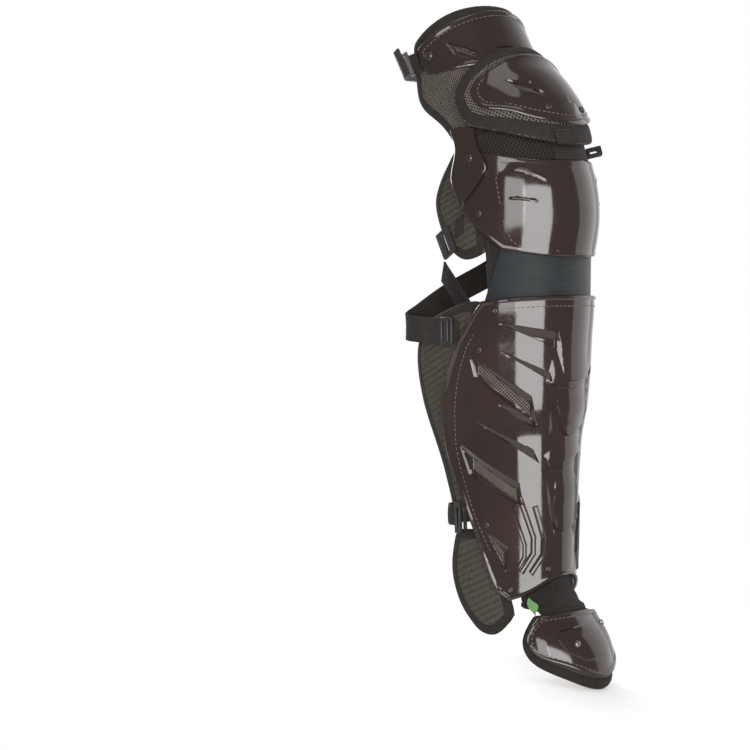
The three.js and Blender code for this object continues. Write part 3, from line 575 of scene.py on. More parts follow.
def turn_outwards(bm, out):
    """Makes an open sheet's faces look outward."""
    bm.normal_update()
    bm.verts.index_update()
    face = max(bm.faces, key=lambda f: f.calc_area())
    if face.normal.dot(Vector(out[face.verts[0].index])) < 0:
        bmesh.ops.reverse_faces(bm, faces=bm.faces)


def thicken(piece, thickness, back=0):
    """Gives a sheet its wall, inwards. back is 1 where its inner side has the second material."""
    solid = piece.modifiers.new("wall", "SOLIDIFY")
    solid.thickness = thickness * MM
    solid.offset = -1.0
    solid.use_even_offset = False
    solid.material_offset = back
    return piece


def round_edges(piece, width, segments=2, angle=50):
    bevel = piece.modifiers.new("rounded", "BEVEL")
    bevel.width = width * MM
    bevel.segments = segments
    bevel.limit_method = "ANGLE"
    bevel.angle_limit = math.radians(angle)
    bevel.use_clamp_overlap = True
    return piece


# %% [markdown]
# ## Shells with pressed relief
# The shin shell is covered with slanted facets and slashes. They could be painted as bump, but their
# edges catch the light, so they are real steps. Each pressing is a convex patch on the flat pattern.
# The pattern is scored along its edges with bisect_plane, so that every step has a crisp line, and
# the inside is lowered or raised. An edge with a wide slope fades out; a narrow one is a cliff.

# %% The shell maker
RIM = 1.6
RIM_DROP = 0.7
FADE = 12
CLIFF = 3
SHELL_CREASE = 30


def to_pattern(corners):
    return np.array(corners, float) * [ARC, 1]


def inward_distance(points, corners, i):
    """Distance from an edge of a convex patch, positive inside it."""
    a, b = corners[i], corners[(i + 1) % len(corners)]
    d = (b - a) / np.linalg.norm(b - a)
    normal = np.array([-d[1], d[0]])
    if (corners.mean(0) - a) @ normal < 0:
        normal = -normal
    return (points - a) @ normal, a, normal


def score(bm, corners, slopes):
    """Cuts the pattern along a patch's edges and along the foot of its steep slopes."""
    low, high = corners.min(0) - 4, corners.max(0) + 4
    for i, slope in enumerate(slopes):
        _, a, normal = inward_distance(corners, corners, i)
        for shift in (0, slope) if slope < CLIFF else (0,):
            near = [
                f for f in bm.faces
                if all(low[0] < v.co.x < high[0] and low[1] < v.co.y < high[1] for v in f.verts)
            ]
            edges = {e for f in near for e in f.edges}
            verts = {v for f in near for v in f.verts}
            start = a + normal * shift
            bmesh.ops.bisect_plane(
                bm, geom=[*near, *edges, *verts], dist=0.05,
                plane_co=(start[0], start[1], 0), plane_no=(normal[0], normal[1], 0),
            )


def pressed_relief(points, pressings):
    """Relief of every point, in millimetres, from all pressings."""
    raised, sunk = np.zeros(len(points)), np.zeros(len(points))
    for pressing in pressings:
        corners = to_pattern(pressing["corners"])
        share = np.ones(len(points))
        for i, slope in enumerate(pressing["slopes"]):
            distance, _, _ = inward_distance(points, corners, i)
            rise = np.clip(distance / slope, 0, 1)
            share = np.minimum(share, rise * rise * (3 - 2 * rise) if slope > FADE else rise)
        raised = np.maximum(raised, pressing["depth"] * share)
        sunk = np.minimum(sunk, pressing["depth"] * share)
    return raised + sunk


def cut_opening(bm, corners):
    """Takes the faces inside a convex patch out of the pattern."""
    middles = np.array([f.calc_center_median()[:2] for f in bm.faces])
    inside = np.ones(len(middles), bool)
    for i in range(len(corners)):
        inside &= inward_distance(middles, corners, i)[0] > 0
    faces = [f for f, cut in zip(bm.faces, inside) if cut]
    bmesh.ops.delete(bm, geom=faces, context="FACES")


def shell(name, node, shape, low, thick, cols, rows, base=leg_base, bulge=None,
          pressings=(), openings=(), lip=None):
    """A moulded shell over a panel. low is its inner face's distance out of the surface."""
    bm = cut_pattern(shape, cols, rows, tight=0.006)
    for pressing in pressings:
        score(bm, to_pattern(pressing["corners"]), pressing["slopes"])
    for opening in openings:
        corners = to_pattern(opening)
        score(bm, corners, [5] * len(corners))
        cut_opening(bm, corners)
    flat = np.array([v.co[:2] for v in bm.verts])
    angle, height = flat[:, 0] / ARC, flat[:, 1]
    rim = edge_distance(shape, flat[:, 0], flat[:, 1])
    offset = low + thick + pressed_relief(flat, pressings)
    offset = offset - RIM_DROP * (1 - np.clip(rim / RIM, 0, 1)) ** 2
    if lip:
        offset = offset + lip["rise"] * np.clip((lip["wide"] - rim) / lip["slope"], 0, 1)
    if bulge:
        offset = offset + bulge(angle, height)
    at, _, _, out = frame_at(base, angle, height)
    for vert, point in zip(bm.verts, (at + out * offset[:, None]) * MM):
        vert.co = point
    write_pattern(bm, flat)
    turn_outwards(bm, out)
    piece = finish_mesh(name, bm, [SHELL_BLACK, SHELL_BACK], node, SHELL_CREASE)
    return thicken(piece, thick, back=1)


def other_side(corners):
    """The same places on the other side of the leg."""
    return [(-angle, height) for angle, height in corners]


def both_sides(pressings):
    """Pressings on the outer side and, mirrored, on the inner side."""
    return [*pressings, *({**p, "corners": other_side(p["corners"])} for p in pressings)]


def wedge(corners, depth, slopes):
    return {"corners": corners, "depth": depth, "slopes": slopes}


print("rim radius in mm:", RIM)

# %% [markdown]
# ## The shin shell
# Seen from the front it is a shield, wide at the calf and narrow at the ankle. Slanted slashes run
# down towards the middle on each side, three of them with a mesh-backed vent, three ribs run to the
# ankle, and a column of stepped plates goes down the front.

# %% The shin shell
PLATE_LOW = 0.2
SHELL = 3
SHIN = {
    "sides": even_sides([
        (0, 57), (0.035, 69), (0.16, 84), (0.32, 103), (0.47, 119), (0.545, 123),
        (0.67, 120), (0.84, 100), (0.93, 86), (1, 74),
    ]),
    "ends": [
        (0, -421, -104), (0.17, -413, -100), (0.35, -400, -98), (0.5, -395, -98),
        (0.65, -396, -98), (0.83, -408, -100), (1, -420, -104),
    ],
}
VENTS = [
    [(-79, -168), (-38, -212), (-38, -223), (-79, -181)],
    [(-92, -270), (-50, -303), (-50, -313), (-92, -283)],
    [(-77, -350), (-62, -368), (-62, -384), (-77, -353)],
]
TOP_SLASHES = [
    wedge([(-64, -126), (-18, -136), (-18, -154)], -3.0, [9, 1.5, 0.8]),
    wedge([(-17, -133), (-13, -150), (-10, -188), (-18, -153)], -2.2, [4, 5, 0.9, 0.9]),
    wedge([(64, -126), (38, -133), (37, -148)], -2.6, [9, 1.5, 0.8]),
]
SLASHES = [
    wedge([(-64, -154), (-22, -179), (-21, -189)], -2.6, [8, 1.5, 0.8]),
    wedge([(-87, -157), (-37, -204), (-32, -234), (-40, -226), (-82, -186)], -2.4, [6, 4, 1, 1.2, 3]),
    wedge([(-66, -210), (-38, -222), (-32, -238), (-48, -228)], -2.4, [8, 2, 0.8, 0.8]),
    wedge([(-88, -228), (-35, -260), (-29, -275)], -2.8, [9, 1.5, 0.8]),
    wedge([(-106, -254), (-47, -296), (-44, -319), (-52, -317), (-96, -288)], -2.4, [6, 4, 1, 1.2, 3]),
    wedge([(-80, -346), (-58, -364), (-60, -390), (-78, -360)], -1.8, [3, 1.5, 1.5, 1.2]),
]


RIB_OVERLAP = 0.3
RIB_FLANK = 0.35
RIB_END = 0.9


def rib(points, width, depth):
    """A raised rib along a few places, as one convex patch for each stretch. Its flanks slope."""
    line_of = to_pattern(points)
    made = []
    for a, b in zip(line_of, line_of[1:]):
        along = unit(b - a)
        across = np.array([-along[1], along[0]]) * width / 2
        a, b = a - along * width * RIB_OVERLAP, b + along * width * RIB_OVERLAP
        corners = [a + across, b + across, b - across, a - across]
        made.append(wedge([(x / ARC, y) for x, y in corners], depth,
                          [width * RIB_FLANK, RIB_END, width * RIB_FLANK, RIB_END]))
    return made


RIBS = [
    *rib([(-54, -322), (-43, -361), (-43, -374), (-50, -390)], 5.5, 1.8),
    *rib([(-47, -312), (-35, -353), (-35, -370), (-45, -389)], 7.0, 2.2),
    *rib([(-33, -322), (-25, -354), (-25.5, -372), (-36, -390)], 7.5, 2.2),
]
TROUGHS = [
    wedge([(-27, -190), (27, -184), (25, -252), (-21, -252)], -2.3, [1.2, 7, 16, 7]),
    wedge([(-28, -281), (22, -263), (22, -300), (18, -356), (-14, -356), (-22, -312)], -2.3,
          [1.2, 7, 7, 16, 7, 7]),
]
STEPS = [
    wedge([(-20, -156), (20, -156), (27, -184), (12, -194), (-1, -197), (-14, -195.5), (-26, -188)], 1.6,
          [28, 10, 1.2, 1.2, 1.2, 1.2, 8]),
    wedge([(-14, -198), (24, -188), (26, -212), (22.5, -233), (10, -242.5), (0.5, -247), (-6, -243),
           (-10, -234), (-15.5, -212)], 3.3, [32, 4, 2, 0.9, 0.9, 0.9, 0.9, 1.5, 1.5]),
    wedge([(-14, -252), (18, -250), (22, -263), (11.5, -275), (-1.5, -284), (-18, -284), (-25, -266)], 1.5,
          [18, 8, 1.2, 1.2, 1.2, 1.2, 8]),
    wedge([(-11, -286), (14, -278), (21, -296), (21, -333), (10, -345.5), (-2.5, -349), (-12, -345.5),
           (-14, -336), (-15.5, -320)], 3.3, [36, 5, 3, 0.9, 0.9, 0.9, 0.9, 1.5, 1.5]),
]


SHIN_LIP = 1.6
SHIN_LIFT = 2.2
LIFT_FROM = -150
LIFT_RUN = 44


def shin_lift(height):
    """The top edge stands off the knee band a little."""
    share = np.clip((height - LIFT_FROM) / LIFT_RUN, 0, 1)
    return SHIN_LIFT * share * share * (3 - 2 * share)


shin_openings = VENTS + [other_side(vent) for vent in VENTS]
shin_shell = shell(
    "shin_shell", "shin_plate", SHIN, PLATE_LOW, SHELL, 160, 210,
    bulge=lambda angle, height: shin_lift(height),
    pressings=TOP_SLASHES + both_sides(SLASHES + RIBS) + TROUGHS + STEPS, openings=shin_openings,
    lip={"rise": SHIN_LIP, "wide": 4.2, "slope": 1.2},
)
print("shin shell faces:", len(shin_shell.data.polygons))

# %% [markdown]
# ## The knee cap, the thigh shell, the floating cup and the foot cap
# These are domes, apart from the thigh shell. The knee cap is plain, with two short low ridges at each
# side. The cup has a slanted hollow on one side, the foot cap a raised panel over the toes, and the
# thigh shell a narrow slit at each side. Their outlines are those of the solids.

# %% The other shells
CAP_LOW = 2.4
SIDE_PLATE = 2.5
STACK = 0.75
CUP_LOW = 4.4
CUP_PAD = 6
CUP_STAND = 4
CAP_SEAT = -0.2
CAP_STAND = 5
KNEE_STAND = 5.5
KNEE_CLOSE = 1.5
KNEE_CLOSE_ANGLE = 70
KNEE_TOP_DROP = 1.2
KNEE_TOP_FROM = 5
KNEE_TOP_RUN = 35


def dome(stand, height, half_height, half_angle):
    """A dome that is stand millimetres high in its middle."""
    def rise(a, h):
        return stand * np.maximum(0, 1 - (a / half_angle) ** 2 - ((h - height) / half_height) ** 2)
    return rise


def knee_rise(angle, height):
    """The knee cap is rounded both ways, and low at its top edge."""
    front = 1 - np.clip(np.abs(angle) / KNEE_CLOSE_ANGLE, 0, 1) ** 4
    top = np.clip((height - KNEE_TOP_FROM) / KNEE_TOP_RUN, 0, 1)
    return knee_dome(angle, height) - KNEE_CLOSE * front - KNEE_TOP_DROP * top**2


cup_rise = dome(CUP_STAND, 84, 66, 90)
knee_dome = dome(KNEE_STAND, -12, 55, 80)
cap_rise = dome(CAP_STAND, -468, 46, 84)

THIGH = {
    "sides": even_sides([(0, 86), (0.35, 97), (1, 94)]),
    "ends": even_ends([(0, 148, 186), (0.25, 134, 193), (0.5, 132, 196)]),
}
KNEE = {
    "sides": even_sides([(0, 60), (0.2, 76), (0.45, 91), (0.6, 88), (0.8, 82), (1, 76)]),
    "ends": even_ends([(0, -50, 46), (0.25, -56, 32), (0.5, -57, 29)]),
}
CUP = {
    "sides": even_sides([(0, 56), (0.18, 72), (0.5, 77), (0.8, 70), (1, 50)]),
    "ends": even_ends([(0, 57, 132), (0.2, 45, 140), (0.5, 39, 144)]),
}
CUP_SHELL = {
    "sides": [(v, a * 0.8, b * 0.8) for v, a, b in CUP["sides"]],
    "ends": [(u, low + 11, top - 15) for u, low, top in CUP["ends"]],
}
FOOT_PANEL = {
    "sides": even_sides([(0, 48), (0.18, 74), (0.45, 88), (0.75, 84), (1, 66)]),
    "ends": even_ends([(0, -494, -434), (0.5, -509, -432)]),
}
FOOT_CAP = {
    "sides": [(v, a * 0.86, b * 0.86) for v, a, b in FOOT_PANEL["sides"]],
    "ends": [(u, low + 9, top - 2) for u, low, top in FOOT_PANEL["ends"]],
}
SIDE_SHELL = {
    "sides": [(0, -94, -89), (0.3, -101, -75), (0.45, -100, -69), (0.75, -91, -73), (1, -91, -71)],
    "ends": [(0, -2, 80), (0.5, -4, 76), (1, -1, 68)],
}
THIGH_VENT = [(-60, 168), (-43, 147), (-41, 142), (-58, 160)]
THIGH_PRESSINGS = both_sides([
    wedge([(-65, 175), (-41, 150), (-38, 138), (-44, 138), (-62, 156)], -1.6, [1, 2, 1.5, 1.5, 3]),
]) + [wedge([(-30, 160), (-4, 149), (30, 147), (32, 134), (-26, 140)], -1.3, [0.9, 1.2, 6, 8, 8])]
KNEE_PRESSINGS = [
    *both_sides(rib([(-49, 26), (-38.5, 21.5), (-29, 16)], 3.0, 0.7)),
    *both_sides(rib([(-54, 2.5), (-44, 1.5), (-36, -0.5)], 2.6, 0.6)),
]
CUP_PRESSINGS = [
    wedge([(-42, 119), (-28, 120), (2, 94), (6, 66), (-24, 62), (-50, 74), (-54, 95)], 1.2,
          [1.2, 1.2, 1.2, 6, 7, 7, 4]),
    wedge([(-37, 95), (-20, 86), (-13, 69), (-30, 80)], -2.4, [1.2, 1.2, 5, 5]),
]
FOOT_PANEL_RISE = 1.8
FOOT_PRESSINGS = [
    wedge([(-38, -452), (14, -446), (22, -468), (14, -482), (-16, -483), (-34, -473), (-41, -460)],
          FOOT_PANEL_RISE, [2, 2, 1.4, 1.4, 1.4, 1.4, 1.4]),
]

thigh_shell = shell("thigh_shell", "thigh_plate", THIGH, PLATE_LOW, SHELL, 90, 36,
                    pressings=THIGH_PRESSINGS, openings=[THIGH_VENT, other_side(THIGH_VENT)],
                    lip={"rise": 0.8, "wide": 5, "slope": 1.2})
knee_shell = shell("knee_cap_shell", "knee_cap", KNEE, CAP_LOW, SHELL, 110, 70, bulge=knee_rise,
                   pressings=KNEE_PRESSINGS, lip={"rise": 0.6, "wide": 3.5, "slope": 1.2})
cup_shell = shell("cup_shell", "upper_cup_shell", CUP_SHELL, CUP_LOW + CUP_PAD + STACK, SHELL, 100, 70,
                  bulge=cup_rise, pressings=CUP_PRESSINGS, lip={"rise": 0.7, "wide": 4, "slope": 1.2})
foot_shell = shell("foot_cap_shell", "foot_cap", FOOT_CAP, CAP_SEAT, SHELL, 80, 50, base=foot_base,
                   bulge=cap_rise, pressings=FOOT_PRESSINGS, lip={"rise": 0.7, "wide": 4, "slope": 1.2})
PLATE_TOP = PLATE_LOW + SHELL
CAP_TOP = CAP_LOW + SHELL
CUP_TOP = CUP_LOW + CUP_PAD + STACK + SHELL
side_low = CAP_TOP + STACK
SIDE_TOP = side_low + SIDE_PLATE
for side, shape in (("outer", SIDE_SHELL), ("inner", mirrored(SIDE_SHELL))):
    shell(f"knee_side_shell_{side}", f"knee_side_plate_{side}", shape, side_low, SIDE_PLATE, 26, 50,
          lip={"rise": 0.5, "wide": 3, "slope": 1})
print("knee cap faces:", len(knee_shell.data.polygons))

# %% [markdown]
# ## Padding
# Each pad is foam between two cloths, sewn together round its edge. The grid is extruded into a
# closed slab and thinned towards the seam. Then Blender's cloth puffs it up with a little pressure
# where nothing lies on it, as foam does. All pads are simulated in one run, and the result is kept.

# %% The pad maker
PAD = 8
PAD_TOP = -0.85
UNDER_PAD = -9
FOAM = 14
SEAM_THIN = 1.3
SEAM_WIDE = 12
TAPE_HOLDS = 9
LOBE_LOWER = 0.25
pads_to_puff = []


def pad(name, node, shape, low, high, cols, rows, materials, base=leg_base, bulge=None,
        free=None, puff=0.0):
    """A closed pad. free tells how much of each place may puff; puff is the most, in millimetres."""
    bm = cut_pattern(shape, cols, rows)
    made = bmesh.ops.extrude_face_region(bm, geom=list(bm.faces))
    top = [g for g in made["geom"] if isinstance(g, bmesh.types.BMVert)]
    bmesh.ops.translate(bm, verts=top, vec=(0, 0, 1))
    flat = np.array([v.co for v in bm.verts])
    angle, height, side = flat[:, 0] / ARC, flat[:, 1], flat[:, 2]
    rim = edge_distance(shape, flat[:, 0], flat[:, 1])
    thin = SEAM_THIN * (1 - np.clip(rim / SEAM_WIDE, 0, 1)) ** 2
    offset = np.where(side > 0.5, high - thin, low + thin)
    if bulge:
        offset = offset + bulge(angle, height)
    at, _, _, out = frame_at(base, angle, height)
    for vert, point in zip(bm.verts, (at + out * offset[:, None]) * MM):
        vert.co = point
    for face in bm.faces:
        inner = all(side[v.index] < 0.5 for v in face.verts)
        face.material_index = 1 if inner else 0
    write_pattern(bm, flat[:, :2])
    bmesh.ops.recalc_face_normals(bm, faces=bm.faces)
    piece = finish_mesh(name, bm, materials, node, 75)
    if puff:
        room = np.ones(len(flat)) if free is None else free(angle, height, side)
        hold = np.clip((rim - TAPE_HOLDS) / SEAM_WIDE, 0, 1) * room
        pads_to_puff.append({"piece": piece, "free": hold, "cap": puff})
    return piece


def beyond(start, end):
    """Free to puff past these angles, and on the inner side everywhere."""
    def free(angle, height, side):
        out = np.clip((np.abs(angle) - start) / (end - start), 0, 1)
        return np.where(side > 0.5, out, 1)
    return free


def inner_only(angle, height, side):
    """Free to puff only towards the leg."""
    return np.where(side > 0.5, 0, 1)


print("pad seam thins by", SEAM_THIN, "mm")

# %% [markdown]
# ## The pads
# The outlines of the pads and of the wings that wrap the sides of the leg. The outer cloth is mesh where
# the photograph shows its open holes, and ribbed knit on the side wings. The inside is lining everywhere.
# A pad may puff towards the leg, and a wing also outward where no shell covers it.

# %% Pads of the thigh, knee, shin and foot
THIGH_PAD = {
    "sides": even_sides([(0, 97), (0.25, 106), (0.55, 124), (0.8, 112), (1, 101)]),
    "ends": even_ends([(0, 65.3, 197), (0.25, 65.3, 205), (0.5, 65.3, 205)]),
}
KNEE_PAD = {
    "sides": even_sides([(0, 72), (0.35, 75), (1, 83)]),
    "ends": even_ends([(0, -100, 64.5), (0.5, -96, 64.5)]),
}
SHIN_PAD = {
    "sides": even_sides([(0, 57), (0.2, 60), (0.3, 78), (0.6, 88), (1, 76)]),
    "ends": even_ends([(0, -412, -106), (0.5, -386, -104)]),
}
KNEE_WING = {
    "sides": [
        (0, -113, -74.8), (0.25, -126, -76.6), (0.5, -132, -79.2), (0.8, -122, -81.8), (1, -103, -83.5),
    ],
    "ends": [(0, -48, 60), (0.45, -60, 62), (1, -53, 61)],
}
CALF_WING = {
    "sides": [
        (0, -117, -80), (0.25, -131, -87.6), (0.5, -150, -89.5),
        (0.8, -160, -84.4), (0.94, -140, -79), (1, -112, -77),
    ],
    "ends": [(0, -342, -112), (0.5, -338, -106), (1, -322, -104)],
}
ANKLE_LOBE = {
    "sides": [(0, -92, -52), (0.25, -113, -58.8), (0.6, -124, -60), (1, -118, -63)],
    "ends": [(0, -456, -350), (0.5, -458, -348), (1, -437, -345)],
}
MESH_PAD = [OUTER_MESH, LINING]
SIDE_PAD = [SIDE_MESH, LINING]

pad("thigh_padding", "thigh_pad", THIGH_PAD, -PAD, PAD_TOP, 62, 30, MESH_PAD,
    free=inner_only, puff=3)
pad("knee_padding", "knee_pad", KNEE_PAD, -PAD, PAD_TOP, 44, 32, [DARK_MESH, LINING],
    free=inner_only, puff=0.6)
pad("shin_padding", "shin_pad", SHIN_PAD, -PAD, PAD_TOP, 44, 60, SIDE_PAD,
    free=inner_only, puff=0.6)
pad("foot_padding", "foot_pad", FOOT_PANEL, -PAD, PAD_TOP, 36, 18, MESH_PAD,
    base=foot_base, free=inner_only, puff=2.5)
pad("cup_padding", "upper_cup_pad", CUP, CUP_LOW, CUP_LOW + CUP_PAD, 40, 24, MESH_PAD,
    bulge=cup_rise)
for side, mirror in (("outer", False), ("inner", True)):
    turned = mirrored if mirror else (lambda shape: shape)
    pad(f"knee_wing_padding_{side}", f"knee_wing_{side}", turned(KNEE_WING), -PAD, PAD_TOP, 20, 24,
        SIDE_PAD, free=beyond(96, 106), puff=3)
    pad(f"calf_wing_padding_{side}", f"calf_wing_{side}", turned(CALF_WING), -PAD, PAD_TOP, 26, 46,
        SIDE_PAD, free=beyond(124, 134), puff=3)
    pad(f"ankle_lobe_padding_{side}", f"ankle_lobe_{side}", turned(ANKLE_LOBE), -PAD, PAD_TOP - LOBE_LOWER,
        22, 24, SIDE_PAD, free=beyond(90, 98), puff=2.5)
print("pads waiting for cloth:", len(pads_to_puff))

# %% [markdown]
# ## The knee cushion
# Inside the knee sits a thick black satin cushion. A raised ring stands round the bare patch, with a
# channel inside it and a split at one side. The foam's height is one smooth function, then the cloth
# run tightens the satin over it.

# %% The knee cushion
FOAM_SHAPE = {
    "sides": even_sides([(0, 42), (0.5, 62), (1, 52)]),
    "ends": even_ends([(0, -50, 44), (0.5, -62, 58)]),
}
PATCH = {"sides": even_sides([(0, 15), (1, 24)]), "ends": even_ends([(0, -26, 22), (0.5, -26, 22)])}
CUSHION_LOW = -PAD - FOAM + 4.5
RELIEF_EDGE = 12


def cushion_relief(angle, height, side):
    """Channels round the patch and between the puffed crescents, in millimetres towards the leg."""
    ring = np.hypot(angle / 27, (height + 2) / 33)
    channel = np.exp(-(((ring - 1.0) / 0.13) ** 2))
    arch = np.exp(-(((ring - 1.5) / 0.32) ** 2))
    split = np.exp(-(((angle - 34 - 0.3 * height) / 4) ** 2)) * (height < 10) * np.clip(ring - 0.9, 0, 1)
    lift = 3.2 * arch - 4.2 * channel - 3 * split - 2.5 * np.clip(1 - ring, 0, 0.4)
    return np.where(side > 0.5, 0, -lift)


cushion = pad("knee_cushion", "knee_foam", FOAM_SHAPE, CUSHION_LOW, UNDER_PAD, 54, 50,
              [BLACK_SATIN, BLACK_SATIN], free=inner_only, puff=2.5)
flat_map = cushion.data.uv_layers["pattern"].data
places = np.zeros((len(cushion.data.vertices), 2))
for corner in cushion.data.loops:
    places[corner.vertex_index] = np.array(flat_map[corner.index].uv) * PATTERN_UNIT
half = len(places) // 2
cushion_at, _, _, cushion_out = frame_at(leg_base, places[:, 0] / ARC, places[:, 1])
points = np.array([v.co for v in cushion.data.vertices])
height_out = np.einsum("ij,ij->i", points / MM - cushion_at, cushion_out)
inner_face = height_out < (CUSHION_LOW + UNDER_PAD) / 2
rim = edge_distance(FOAM_SHAPE, places[:, 0], places[:, 1])
lowered = cushion_relief(places[:, 0] / ARC, places[:, 1], np.where(inner_face, 0, 1))
points += cushion_out * (lowered * np.clip(rim / RELIEF_EDGE, 0, 1))[:, None] * MM
cushion.data.vertices.foreach_set("co", points.ravel())
print("cushion's deepest channel in mm:", round(float(lowered.max()), 1))

# %% [markdown]
# ## The cloth run
# One run for all pads: pressure inside, no gravity, the sewn edge and the covered places pinned.
# Foam holds its shape, so no place may move more than its cap.

# %% Puffing the pads
FRAMES = 20
PRESSURE = 4.0


def add_cloth(piece, free):
    pins = piece.vertex_groups.new(name="held")
    for i, weight in enumerate(1 - free):
        if weight > 0:
            pins.add([i], float(weight), "REPLACE")
    cloth = piece.modifiers.new("cloth", "CLOTH")
    settings = cloth.settings
    settings.vertex_group_mass = "held"
    settings.use_pressure = True
    settings.uniform_pressure_force = PRESSURE
    settings.effector_weights.gravity = 0
    settings.tension_stiffness = 12
    settings.compression_stiffness = 12
    settings.bending_stiffness = 0.6
    settings.quality = 5
    cloth.point_cache.frame_start = 1
    cloth.point_cache.frame_end = FRAMES


def keep_cloth(piece, free, cap):
    """Writes the simulated shape into the mesh, each move no longer than the cap."""
    rest = np.array([v.co for v in piece.data.vertices])
    seen = piece.evaluated_get(bpy.context.evaluated_depsgraph_get())
    moved = np.array([v.co for v in seen.data.vertices]) - rest
    size = np.linalg.norm(moved, axis=1) + 1e-12
    limit = cap * MM * np.sqrt(np.clip(free, 0, 1))
    moved *= (np.minimum(size, limit) / size)[:, None]
    piece.modifiers.remove(piece.modifiers["cloth"])
    piece.data.vertices.foreach_set("co", (rest + moved).ravel())
    piece.vertex_groups.clear()
    return float(np.linalg.norm(moved, axis=1).max() / MM)


for item in pads_to_puff:
    add_cloth(item["piece"], item["free"])
for f in range(1, FRAMES + 1):
    bpy.context.scene.frame_set(f)
for item in pads_to_puff:
    most = keep_cloth(item["piece"], item["free"], item["cap"])
    print(item["piece"].name, "puffed by up to", round(most, 1), "mm")
bpy.context.scene.frame_set(1)
for item in pads_to_puff:
    smooth = item["piece"].modifiers.new("smooth", "SUBSURF")
    smooth.levels = smooth.render_levels = 1

# %% [markdown]
# ## Binding tape
# A woven tape is folded over every pad's raw edge and sewn through with one line of thread. Its
# section is a flat C, carried once round the outline on the surface itself, so it bends with the pad.

# %% The binding maker
TAPE = 9.5
TAPE_THICK = 0.55


def smooth_loop(values, times):
    for _ in range(times):
        values = (np.roll(values, 1, 0) + values + np.roll(values, -1, 0)) / 3
    return values


def edge_frame(base, outline):
    """Local millimetres per degree and the inward direction along an outline of angles and heights."""
    angle, height = outline[:, 0], outline[:, 1]
    metric = np.linalg.norm(base(angle + FEEL, height) - base(angle - FEEL, height), axis=1)
    flat = np.stack([angle * metric.mean(), height], -1)
    run = smooth_loop(np.roll(flat, -1, 0) - np.roll(flat, 1, 0), 2)
    inward = unit(np.stack([-run[:, 1], run[:, 0]], -1) + 1e-9)
    return metric, inward


def even_outline(shape, spacing=4.0, steps=80):
    """The outline with even spacing, so that tape and stitches run evenly."""
    outline = outline_of(shape, steps)
    flat = outline * [ARC, 1]
    step = np.linalg.norm(np.roll(flat, -1, 0) - flat, axis=1)
    along = np.concatenate([[0], np.cumsum(step)])
    count = int(along[-1] / spacing)
    at = np.linspace(0, along[-1], count, endpoint=False)
    closed = np.vstack([outline, outline[:1]])
    return np.stack([np.interp(at, along, closed[:, i]) for i in (0, 1)], -1)


def binding(name, shape, low, high, base=leg_base, bulge=None, width=TAPE):
    """Tape folded over a pad's edge."""
    outline = smooth_loop(even_outline(shape), 3)
    metric, inward = edge_frame(base, outline)

    def thin(inset):
        return SEAM_THIN * (1 - min(inset / SEAM_WIDE, 1)) ** 2

    top, bottom = high + TAPE_THICK, low - TAPE_THICK
    profile = [(width + 0.3, high - thin(width) - 0.3), (width, top - thin(width))]
    profile += [(width * s, top - thin(width * s)) for s in (0.75, 0.5, 0.25)]
    profile += [(0.5, top - SEAM_THIN - 0.1), (-0.6, top - SEAM_THIN - 1), (-1.0, (top + bottom) / 2),
                (-0.6, bottom + SEAM_THIN + 1), (0.5, bottom + SEAM_THIN + 0.1)]
    profile += [(width * s, bottom + thin(width * s)) for s in (0.25, 0.5, 0.75)]
    profile += [(width, bottom + thin(width)), (width + 0.3, low + thin(width) + 0.3)]
    count, rows = len(outline), len(profile) - 1
    bm = bmesh.new()
    bmesh.ops.create_grid(bm, x_segments=count, y_segments=rows, size=0.5)
    co = np.array([v.co for v in bm.verts])
    i = np.round((co[:, 0] - co[:, 0].min()) / np.ptp(co[:, 0]) * count).astype(int)
    j = np.round((co[:, 1] - co[:, 1].min()) / np.ptp(co[:, 1]) * rows).astype(int)
    inset, offset = np.array(profile)[j].T
    place = outline[i % count]
    angle = place[:, 0] + inward[i % count, 0] * inset / metric[i % count]
    height = place[:, 1] + inward[i % count, 1] * inset
    if bulge:
        offset = offset + bulge(angle, height)
    points = on_surface(base, angle, height, offset) * MM
    for vert, point in zip(bm.verts, points):
        vert.co = point
    write_pattern(bm, np.stack([j * 2.6, i * 4.0], -1))
    bmesh.ops.remove_doubles(bm, verts=bm.verts, dist=0.00001)
    bmesh.ops.recalc_face_normals(bm, faces=bm.faces)
    piece = finish_mesh(name, bm, [BINDING], None, 60)
    smooth = piece.modifiers.new("smooth", "SUBSURF")
    smooth.levels = smooth.render_levels = 1
    return piece


def stitches(name, base, places, offset, length=3.2, gap=2.0, thick=0.9):
    """A row of thread stitches along places given as angles and heights."""
    points = on_surface(base, places[:, 0], places[:, 1], offset)
    _, _, _, out = frame_at(base, places[:, 0], places[:, 1])
    step = np.linalg.norm(np.diff(points, axis=0), axis=1)
    along = np.concatenate([[0], np.cumsum(step)])
    starts = np.arange(gap, along[-1] - length, length + gap)
    bm = bmesh.new()
    for start in starts:
        ends = (start, start + length)
        a, b = (np.array([np.interp(s, along, points[:, i]) for i in range(3)]) for s in ends)
        normal = unit(np.array([np.interp(start, along, out[:, i]) for i in range(3)]))
        run = unit(b - a)
        turn = Matrix((run, np.cross(normal, run), normal)).transposed().to_4x4()
        turn.translation = Vector((a + b) / 2 * MM)
        made = bmesh.ops.create_cube(bm, size=1, matrix=turn @ Matrix.Diagonal(
            (length * MM, thick * MM, 0.7 * MM, 1)))
        edges = list({e for v in made["verts"] for e in v.link_edges})
        bmesh.ops.bevel(bm, geom=edges, offset=0.22 * MM, segments=1, affect="EDGES", profile=0.5,
                        material=-1)
    write_pattern(bm, [(v.co.x / MM, v.co.z / MM) for v in bm.verts])
    return finish_mesh(name, bm, [THREAD], None, 50)


